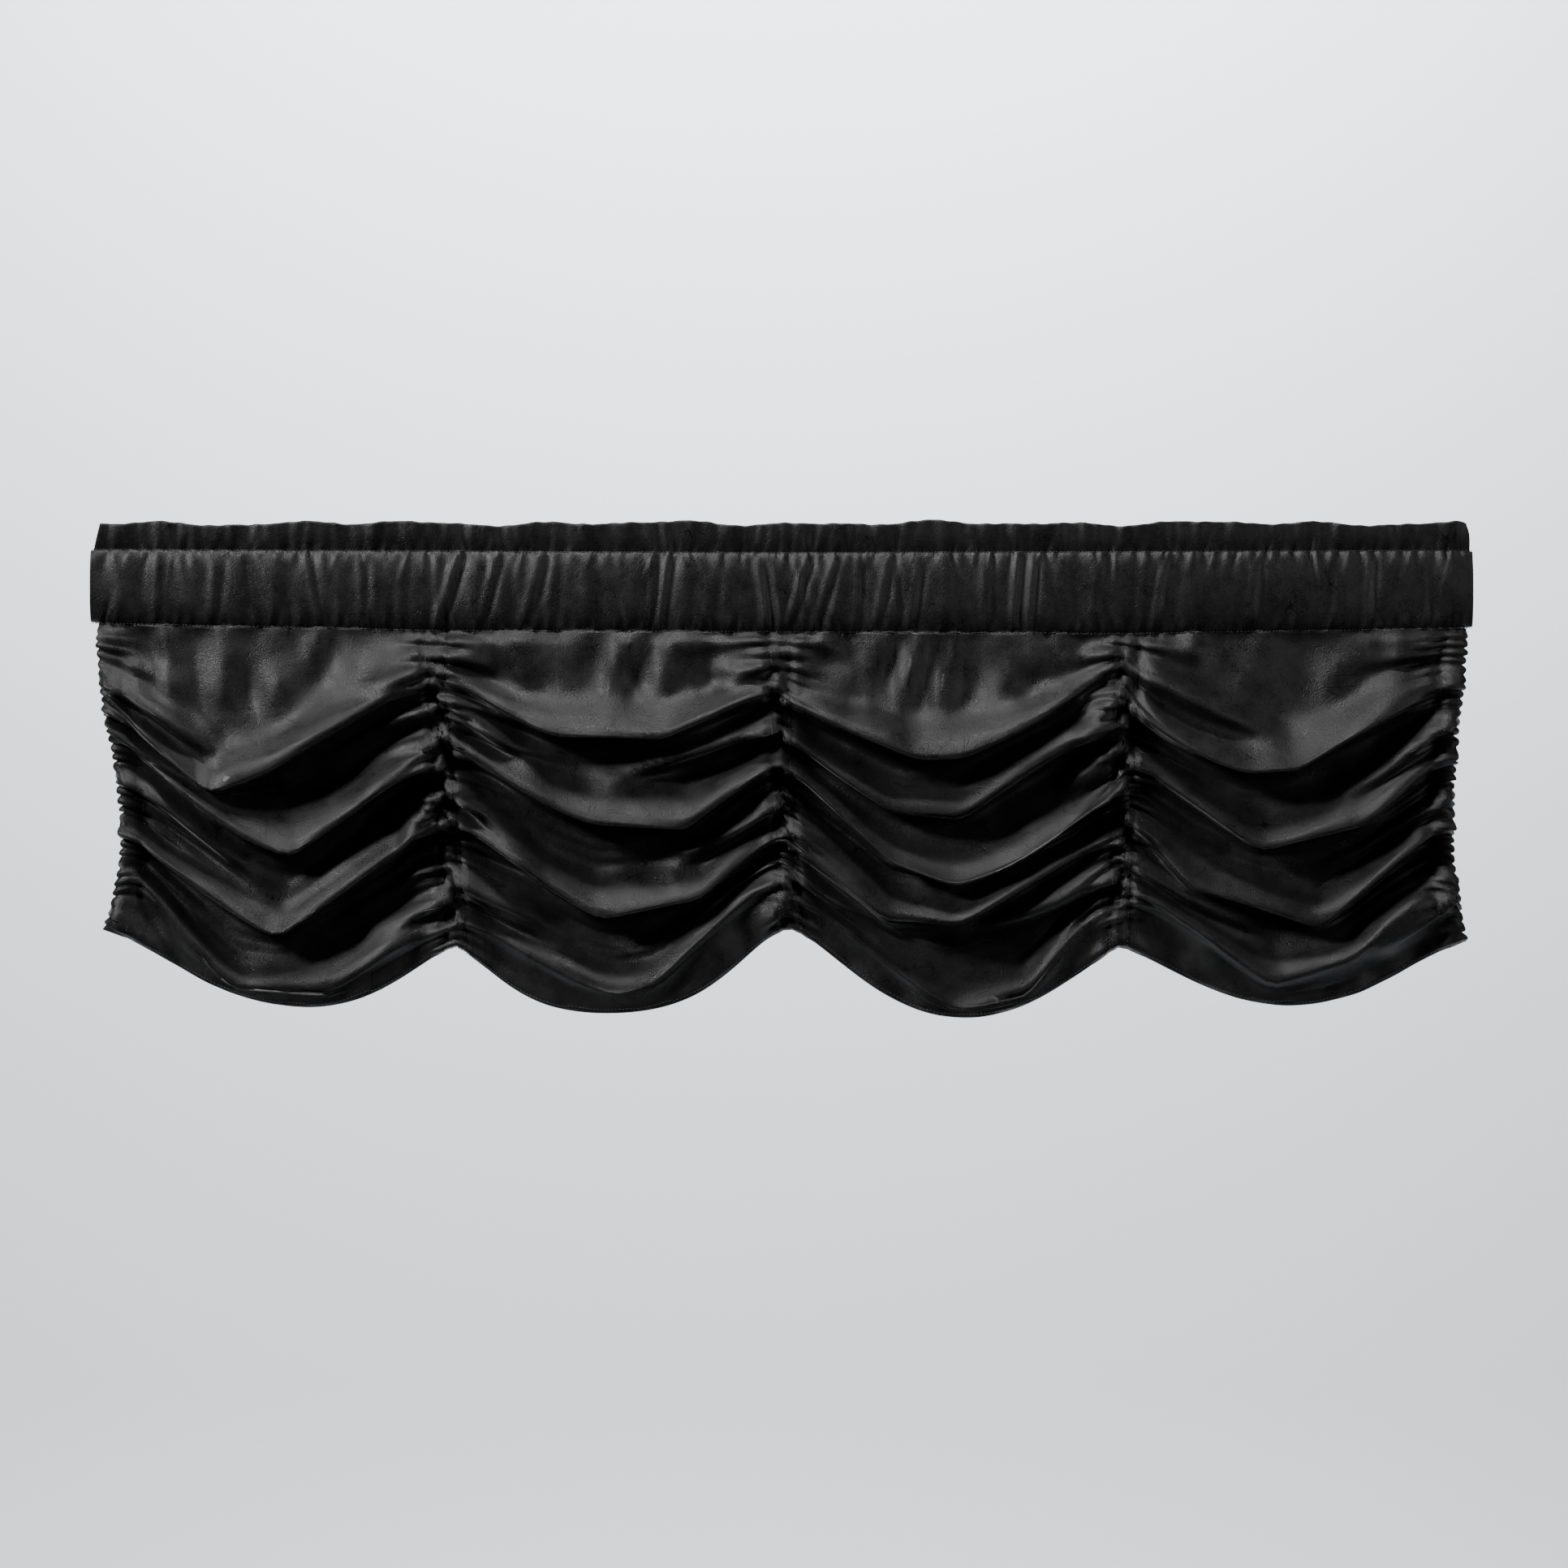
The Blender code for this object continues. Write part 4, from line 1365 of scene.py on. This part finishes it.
class Socket:
    """A shader value that can be used in a Python expression."""

    def __init__(self, tree: "Tree", link: bpy.types.NodeSocket) -> None:
        """Wraps a node's output.

        Args:
            tree: The tree that new nodes go in.
            link: The output.
        """
        self.tree = tree
        self.link = link

    def _math(self, operation: str, *values: "Value") -> "Socket":
        """The result of a Math node on these values."""
        return self.tree.node("ShaderNodeMath", {"operation": operation}, dict(enumerate(values)))

    def __add__(self, other: "Value") -> "Socket":
        """Adds."""
        return self._math("ADD", self, other)

    __radd__ = __add__

    def __sub__(self, other: "Value") -> "Socket":
        """Subtracts."""
        return self._math("SUBTRACT", self, other)

    def __rsub__(self, other: "Value") -> "Socket":
        """Subtracts from a number."""
        return self._math("SUBTRACT", other, self)

    def __mul__(self, other: "Value") -> "Socket":
        """Multiplies."""
        return self._math("MULTIPLY", self, other)

    __rmul__ = __mul__

    def __abs__(self) -> "Socket":
        """The value without its sign."""
        return self._math("ABSOLUTE", self)

    def sine(self) -> "Socket":
        """The sine."""
        return self._math("SINE", self)

    def larger(self, other: "Value") -> "Socket":
        """The larger of two values."""
        return self._math("MAXIMUM", self, other)

    def band(self, low: float, high: float) -> "Socket":
        """A smooth step from 0 at low to 1 at high; low may be the higher."""
        settings = {"interpolation_type": "SMOOTHSTEP"}
        if low < high:
            values = {"Value": self, "From Min": low, "From Max": high}
            return self.tree.node("ShaderNodeMapRange", settings, values)
        return 1 - self.band(high, low)


Value = Any


class Tree:
    """A material's nodes."""

    def __init__(self, material: bpy.types.Material) -> None:
        """Starts on an empty tree.

        Args:
            material: The material.
        """
        material.use_nodes = True
        self.nodes = material.node_tree.nodes
        self.links = material.node_tree.links
        self.nodes.clear()

    def node(self, kind: str, settings: dict[str, Any], values: dict[Any, Value], output: Any = 0) -> Socket:
        """Adds a node.

        Args:
            kind: Its type.
            settings: Its own settings, set first.
            values: A value or a Socket for each of its inputs, by name or number.
            output: Which output to return, by name or number.

        Returns:
            That output.
        """
        made = self.nodes.new(kind)
        for name, value in settings.items():
            setattr(made, name, value)
        for name, value in values.items():
            slot = made.inputs[name]
            if isinstance(value, Socket):
                self.links.new(value.link, slot)
            else:
                slot.default_value = value
        return Socket(self, made.outputs[output])

    def end(self, shader: Socket) -> None:
        """Joins a shader to the material's output."""
        made = self.nodes.new("ShaderNodeOutputMaterial")
        self.links.new(shader.link, made.inputs["Surface"])

    def vector(self, operation: str, first: Value, second: Value, output: Any = 0) -> Socket:
        """The result of a Vector Math node."""
        return self.node("ShaderNodeVectorMath", {"operation": operation}, {0: first, 1: second}, output)

    def colour(self, share: Value, first: Value, second: Value) -> Socket:
        """A mix of two colours."""
        settings = {"data_type": "RGBA"}
        return self.node("ShaderNodeMix", settings, {"Factor": share, 6: first, 7: second}, 2)

    def noise(self, place: Socket, scale: float, detail: float = 2.0, rough: float = 0.5) -> Socket:
        """Smooth noise about 0.5."""
        values = {"Vector": place, "Scale": scale, "Detail": detail, "Roughness": rough}
        return self.node("ShaderNodeTexNoise", {}, values, "Fac")

    def bump(self, height: Socket, distance: float, strength: float, normal: Socket | None = None) -> Socket:
        """A Bump node on a height."""
        values: dict[str, Value] = {"Height": height, "Distance": distance, "Strength": strength}
        if normal is not None:
            values["Normal"] = normal
        return self.node("ShaderNodeBump", {}, values)


# Finishes


@dataclass(frozen=True)
class Velvet:
    """Black velvet with a short pile and a faint pressed pattern of small flowers with curling stems.

    Shares named tone change the cloth's brightness, and shares named gloss its roughness. The crest colour is
    a painted highlight on sharp crests and the crease colour is painted shade in sharp creases, mixed in
    where the fold attribute marks them.
    """

    dark: tuple[float, float, float, float] = (0.002, 0.002, 0.002, 1.0)
    light: tuple[float, float, float, float] = (0.034, 0.0336, 0.0336, 1.0)
    # Painted light: crest is a painted highlight and crease is painted shade, mixed into the base colour
    # where the fold attribute marks sharp crests and creases.
    crest: tuple[float, float, float, float] = (0.26, 0.26, 0.26, 1.0)
    crease: tuple[float, float, float, float] = (0.001, 0.001, 0.001, 1.0)
    # How strongly the painted crest highlight is mixed in and from what sharpness, and how strongly the
    # painted crease shade is.
    opened: float = 1.0
    highlight_from: float = 0.16
    closed: float = 0.9
    rough: float = 0.40
    rough_span: float = 0.35
    specular: float = 0.4
    sheen: float = 0.4
    sheen_rough: float = 0.18
    sheen_tint: tuple[float, float, float, float] = (0.85, 0.85, 0.86, 1.0)
    motif_cell: float = 0.052
    petal_count: float = 5.0
    petal_round: float = 0.13
    petal_wave: float = 0.035
    heart_round: float = 0.04
    stem_level: float = 0.5
    leaf_level: float = 0.58
    motif_height: float = 0.0002
    motif_tone: float = 0.40
    motif_press: float = 0.5
    curl_scale: float = 46.0
    worn_scale: float = 30.0
    cloud_scale: float = 9.0
    cloud_tone: float = 0.20
    patch_scale: float = 38.0
    patch_tone: float = 0.60
    patch_press: float = 0.6
    dent_height: float = 0.0012
    crush_scale: float = 75.0
    crush_tone: float = 0.30
    crush_gloss: float = 0.30
    pile_scale: float = 950.0
    pile_tone: float = 0.80
    pile_gloss: float = 0.5
    pile_height: float = 0.0005
    pile_press: float = 0.8
    base_tone: float = 0.45

    def motif(self, tree: Tree, flat: Socket) -> Socket:
        """The pressed pattern: small flowers with curling stems about them, scattered over the flat cloth.

        Args:
            tree: The material's tree.
            flat: The place on the flat cloth, in metres.

        Returns:
            Its mask, 1 on its lines.
        """
        source = tree.node(
            "ShaderNodeVectorMath", {"operation": "SCALE"}, {0: flat, "Scale": 1 / self.motif_cell}
        )
        cell = tree.node(
            "ShaderNodeTexVoronoi",
            {"voronoi_dimensions": "2D"},
            {"Vector": source, "Scale": 1.0, "Randomness": 0.75},
            "Position",
        )
        local = tree.vector("SUBTRACT", source, cell)
        apart = tree.node("ShaderNodeSeparateXYZ", {}, {0: local}, 0)
        x, y = apart, Socket(tree, apart.link.node.outputs[1])
        radius = tree.vector("LENGTH", local, (0.0, 0.0, 0.0), 1)
        angle = tree.node("ShaderNodeMath", {"operation": "ARCTAN2"}, {0: y, 1: x})
        wave = self.petal_wave * (angle * self.petal_count).sine()
        petals = abs(radius - (self.petal_round + wave)).band(0.016, 0.005)
        heart = abs(radius - self.heart_round).band(0.014, 0.004)
        curls = tree.noise(flat, self.curl_scale, 0.0)
        stems = abs(curls - self.stem_level).band(0.016, 0.005)
        stems = stems * radius.band(0.17, 0.21) * radius.band(0.55, 0.46)
        leaves = abs(curls - self.leaf_level).band(0.012, 0.004)
        leaves = leaves * radius.band(0.24, 0.28) * radius.band(0.46, 0.38)
        worn = tree.noise(flat, self.worn_scale, 1.0).band(0.40, 0.58)
        return petals.larger(heart).larger(stems).larger(leaves) * worn

    def build(self) -> bpy.types.Material:
        """Makes the material.

        Returns:
            The velvet.
        """
        material = bpy.data.materials.new("black_velvet_finish")
        tree = Tree(material)
        place = tree.node("ShaderNodeTexCoord", {}, {}, "Object")
        flat = tree.node("ShaderNodeUVMap", {"uv_map": "flat"}, {})
        motif = self.motif(tree, flat)
        cloud = tree.noise(place, self.cloud_scale, 3.0, 0.55)
        patch = tree.noise(place, self.patch_scale, 3.0, 0.6)
        pile = tree.noise(place, self.pile_scale, 2.0, 0.6)
        crush = tree.noise(flat, self.crush_scale, 4.0, 0.6)
        tone = self.cloud_tone * cloud + self.patch_tone * patch + self.crush_tone * crush
        tone = tone + self.pile_tone * pile - self.base_tone - self.motif_tone * motif
        base = tree.colour(tone, self.dark, self.light)
        # Painted light: a painted highlight on sharp crests and painted shade in sharp creases, both led by
        # the fold attribute.
        fold = tree.node("ShaderNodeAttribute", {"attribute_name": "fold"}, {}, "Fac")
        base = tree.colour(self.opened * (fold - self.highlight_from).larger(0.0), base, self.crest)
        base = tree.colour(self.closed * (0.0 - fold).larger(0.0), base, self.crease)
        rough = self.rough + self.rough_span * (patch - 0.5) + self.pile_gloss * (pile - 0.5)
        rough = rough + self.crush_gloss * (crush - 0.5)
        normal = tree.bump(1 - motif, self.motif_height, self.motif_press)
        normal = tree.bump(patch, self.dent_height, self.patch_press, normal)
        normal = tree.bump(pile, self.pile_height, self.pile_press, normal)
        shader = tree.node(
            "ShaderNodeBsdfPrincipled",
            {},
            {
                "Base Color": base,
                "Roughness": rough,
                "Normal": normal,
                "Sheen Weight": self.sheen,
                "Sheen Roughness": self.sheen_rough,
                "Sheen Tint": self.sheen_tint,
                "Specular IOR Level": self.specular,
            },
        )
        tree.end(shader)
        return material


@dataclass(frozen=True)
class Thread:
    """Black sewing thread with a slight gloss."""

    base: tuple[float, float, float, float] = (0.03, 0.03, 0.032, 1.0)
    rough: float = 0.42
    twist: float = 2600.0

    def build(self) -> bpy.types.Material:
        """Makes the material.

        Returns:
            The thread.
        """
        material = bpy.data.materials.new("black_thread_finish")
        tree = Tree(material)
        place = tree.node("ShaderNodeTexCoord", {}, {}, "Object")
        ply = tree.noise(place, self.twist, 1.0)
        shade = tree.colour(ply, self.base, tuple(2.2 * part for part in self.base[:3]) + (1.0,))
        values = {"Base Color": shade, "Roughness": self.rough + 0.2 * (ply - 0.5), "Sheen Weight": 0.2}
        tree.end(tree.node("ShaderNodeBsdfPrincipled", {}, values))
        return material


@dataclass(frozen=True)
class Plaster:
    """The pale, plain finish of the floor and the backdrop."""

    colour: tuple[float, float, float, float] = (0.80, 0.83, 0.87, 1.0)

    def build(self) -> bpy.types.Material:
        """Makes the material.

        Returns:
            The plaster.
        """
        material = bpy.data.materials.new("pale_plaster")
        tree = Tree(material)
        tree.end(tree.node("ShaderNodeBsdfPrincipled", {}, {"Base Color": self.colour, "Roughness": 0.9}))
        return material


# Stitches


@dataclass
class Stitching:
    """Rows of stitches along given lines, laid by Geometry Nodes."""

    pitch: float = 3.4
    long: float = 2.5
    thick: float = 0.75
    jitter: float = 0.12
    seed: int = 3

    def tree(self, material: bpy.types.Material) -> bpy.types.NodeTree:
        """Builds the node tree that turns polylines into stitches.

        Args:
            material: The thread.

        Returns:
            The tree.
        """
        tree = bpy.data.node_groups.new("stitch_rows", "GeometryNodeTree")
        face = tree.interface
        face.new_socket("Geometry", in_out="INPUT", socket_type="NodeSocketGeometry")
        for name in ("Pitch", "Long", "Thick", "Jitter"):
            face.new_socket(name, in_out="INPUT", socket_type="NodeSocketFloat")
        face.new_socket("Seed", in_out="INPUT", socket_type="NodeSocketInt")
        face.new_socket("Geometry", in_out="OUTPUT", socket_type="NodeSocketGeometry")
        nodes = tree.nodes
        start, end = nodes.new("NodeGroupInput"), nodes.new("NodeGroupOutput")
        curve = nodes.new("GeometryNodeMeshToCurve")
        points = nodes.new("GeometryNodeCurveToPoints")
        points.mode = "LENGTH"
        ball = nodes.new("GeometryNodeMeshUVSphere")
        ball.inputs["Segments"].default_value = 6
        ball.inputs["Rings"].default_value = 4
        ball.inputs["Radius"].default_value = 0.5
        size = nodes.new("ShaderNodeCombineXYZ")
        place = nodes.new("GeometryNodeInstanceOnPoints")
        turn = nodes.new("FunctionNodeAlignRotationToVector")
        turn.axis = "X"
        spread = nodes.new("FunctionNodeRandomValue")
        spread.data_type = "FLOAT_VECTOR"
        low = nodes.new("ShaderNodeMath")
        low.operation = "MULTIPLY"
        low.inputs[1].default_value = -1.0
        add = nodes.new("ShaderNodeVectorMath")
        add.operation = "ADD"
        real = nodes.new("GeometryNodeRealizeInstances")
        dress = nodes.new("GeometryNodeSetMaterial")
        dress.inputs["Material"].default_value = material
        links = (
            (start, "Geometry", curve, "Mesh"),
            (curve, "Curve", points, "Curve"),
            (start, "Pitch", points, "Length"),
            (start, "Long", size, "X"),
            (start, "Thick", size, "Y"),
            (start, "Thick", size, "Z"),
            (start, "Jitter", low, 0),
            (start, "Jitter", spread, "Max"),
            (low, 0, spread, "Min"),
            (start, "Seed", spread, "Seed"),
            (points, "Tangent", add, 0),
            (spread, "Value", add, 1),
            (add, 0, turn, "Vector"),
            (points, "Points", place, "Points"),
            (ball, "Mesh", place, "Instance"),
            (turn, "Rotation", place, "Rotation"),
            (size, "Vector", place, "Scale"),
            (place, "Instances", real, "Geometry"),
            (real, "Geometry", dress, "Geometry"),
            (dress, "Geometry", end, "Geometry"),
        )
        for source, output, target, slot in links:
            tree.links.new(source.outputs[output], target.inputs[slot])
        return tree

    def build(self, name: str, lines: Iterable[Array], material: bpy.types.Material) -> bpy.types.Object:
        """Lays stitches along lines.

        Args:
            name: The piece's name.
            lines: The lines' points, in millimetres.
            material: The thread.

        Returns:
            The stitches, as one plain mesh.
        """
        points: list[Array] = []
        edges: list[tuple[int, int]] = []
        for line in lines:
            first = sum(len(part) for part in points)
            points.append(line * MM)
            edges.extend((first + i, first + i + 1) for i in range(len(line) - 1))
        path = bpy.data.meshes.new(name + "_path")
        path.from_pydata(np.concatenate(points).tolist(), edges, [])
        guide = bpy.data.objects.new(name + "_path", path)
        bpy.context.scene.collection.objects.link(guide)
        tree = self.tree(material)
        modifier = guide.modifiers.new("stitches", "NODES")
        modifier.node_group = tree
        sizes = {
            "Pitch": self.pitch * MM,
            "Long": self.long * MM,
            "Thick": self.thick * MM,
            "Jitter": self.jitter,
            "Seed": self.seed,
        }
        for item in tree.interface.items_tree:
            if item.in_out == "INPUT" and item.name in sizes:
                modifier[item.identifier] = sizes[item.name]
        graph = bpy.context.evaluated_depsgraph_get()
        mesh = bpy.data.meshes.new_from_object(guide.evaluated_get(graph))
        mesh.name = name
        mesh.shade_smooth()
        bpy.data.objects.remove(guide)
        made = bpy.data.objects.new(name, mesh)
        bpy.context.scene.collection.objects.link(made)
        return made


# The studio


@dataclass(frozen=True)
class Lamp:
    """A soft area light.

    Args:
        name: Its name.
        place: Where it hangs.
        aim: What it points at.
        size: Its width and height.
        power: Its power in watts.
        colour: Its colour.
    """

    name: str
    place: tuple[float, float, float]
    aim: tuple[float, float, float]
    size: tuple[float, float]
    power: float
    colour: tuple[float, float, float] = (1.0, 1.0, 1.0)

    def build(self) -> None:
        """Hangs the light."""
        data = bpy.data.lights.new(self.name, "AREA")
        data.shape = "RECTANGLE"
        data.size, data.size_y = self.size
        data.energy = self.power
        data.color = self.colour
        made = bpy.data.objects.new(self.name, data)
        made.location = self.place
        made.rotation_euler = (Vector(self.aim) - Vector(self.place)).to_track_quat("-Z", "Y").to_euler()
        bpy.context.scene.collection.objects.link(made)


@dataclass
class Studio:
    """The camera, the lights, and a pale floor that sweeps up into a backdrop."""

    frame_width: float = 1.4432
    distance: float = 3.6
    look_x: float = 0.0022
    look_z: float = -0.2428
    sensor: float = 36.0
    floor: float = -2.6
    wall: float = 4.6
    sweep: float = 1.1
    half_width: float = 8.0
    near: float = -0.7
    top: float = 5.0
    surround: float = 0.012
    pale: tuple[float, float, float, float] = (0.80, 0.83, 0.87, 1.0)
    lamps: tuple[Lamp, ...] = (
        Lamp("key", (-0.3, -0.62, 1.8), (0.0, 0.0, -0.25), (0.9, 0.3), 29.0),
        Lamp("left", (-3.9, -2.5, 2.4), (0.0, 0.0, -0.25), (0.8, 0.8), 220.0),
        Lamp("right", (3.6, -2.0, 0.3), (0.0, 0.0, -0.25), (0.9, 0.9), 25.0),
        Lamp("wall", (0.0, 2.6, 2.6), (0.0, 4.6, -0.4), (4.0, 1.0), 430.0),
        Lamp("behind", (0.3, 2.2, 1.6), (0.0, 0.0, -0.2), (1.6, 0.8), 10.0),
    )

    def camera(self) -> None:
        """Sets up the camera."""
        data = bpy.data.cameras.new("camera")
        data.sensor_width = self.sensor
        data.lens = self.sensor * self.distance / self.frame_width
        data.clip_end = 60.0
        made = bpy.data.objects.new("camera", data)
        made.location = (self.look_x, -self.distance, self.look_z)
        made.rotation_euler = (math.pi / 2, 0.0, 0.0)
        bpy.context.scene.collection.objects.link(made)
        bpy.context.scene.camera = made

    def backdrop(self) -> bpy.types.Object:
        """Makes the floor and the backdrop in one sweep.

        Returns:
            The sweep.
        """
        turn = np.linspace(0.0, math.pi / 2, 24)
        y = np.concatenate(([self.near], self.wall - self.sweep + self.sweep * np.sin(turn), [self.wall]))
        z = np.concatenate(([self.floor], self.floor + self.sweep * (1 - np.cos(turn)), [self.top]))
        sides = (-self.half_width, self.half_width)
        rows = [np.stack((np.full_like(y, side), y, z), axis=-1) for side in sides]
        points = np.concatenate(rows) / MM
        faces = [grid_faces(2, len(y))]
        return mesh_object("backdrop", points, faces, np.zeros((len(points), 2)), Plaster(self.pale).build())

    def world(self) -> None:
        """Makes the dim, even light that comes from all around."""
        world = bpy.data.worlds.new("surround")
        bpy.context.scene.world = world
        world.use_nodes = True
        nodes = world.node_tree.nodes
        nodes.clear()
        sky = nodes.new("ShaderNodeBackground")
        sky.inputs["Color"].default_value = self.pale
        sky.inputs["Strength"].default_value = self.surround
        out = nodes.new("ShaderNodeOutputWorld")
        world.node_tree.links.new(sky.outputs[0], out.inputs["Surface"])

    def build(self) -> None:
        """Builds the studio."""
        self.camera()
        self.world()
        for lamp in self.lamps:
            lamp.build()
        self.backdrop()


# The valance


def join(piece: bpy.types.Object, node: str | None = None) -> None:
    """Makes a piece ride on the valance and, where it has one, stand for a node.

    Args:
        piece: The piece.
        node: The node that it replaces.
    """
    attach(piece, BODY)
    if node:
        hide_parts(node)
    mesh = piece.data
    log.info("%s: %d points, %d faces", piece.name, len(mesh.vertices), len(mesh.polygons))


def main() -> None:
    """Builds the valance and its studio."""
    logging.basicConfig(level=logging.INFO, format="%(name)s: %(message)s")
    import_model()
    Studio().build()
    velvet, thread = Velvet().build(), Thread().build()

    header = Header()
    cloth, pocket = SwagCloth(), RodPocket(header)
    swag, tube = cloth.build(velvet), pocket.build(velvet)
    frill = HeadingFrill(header).build(velvet)
    cloth_rows = Stitching().build("cloth_stitches", cloth.stitch_lines(), thread)
    pocket_rows = Stitching(seed=8).build("pocket_stitches", pocket.stitch_lines(), thread)
    join(swag, "swag_cloth")
    join(tube, "rod_pocket")
    join(frill, "heading_frill")
    join(cloth_rows)
    join(pocket_rows)


if __name__ == "__main__":
    main()
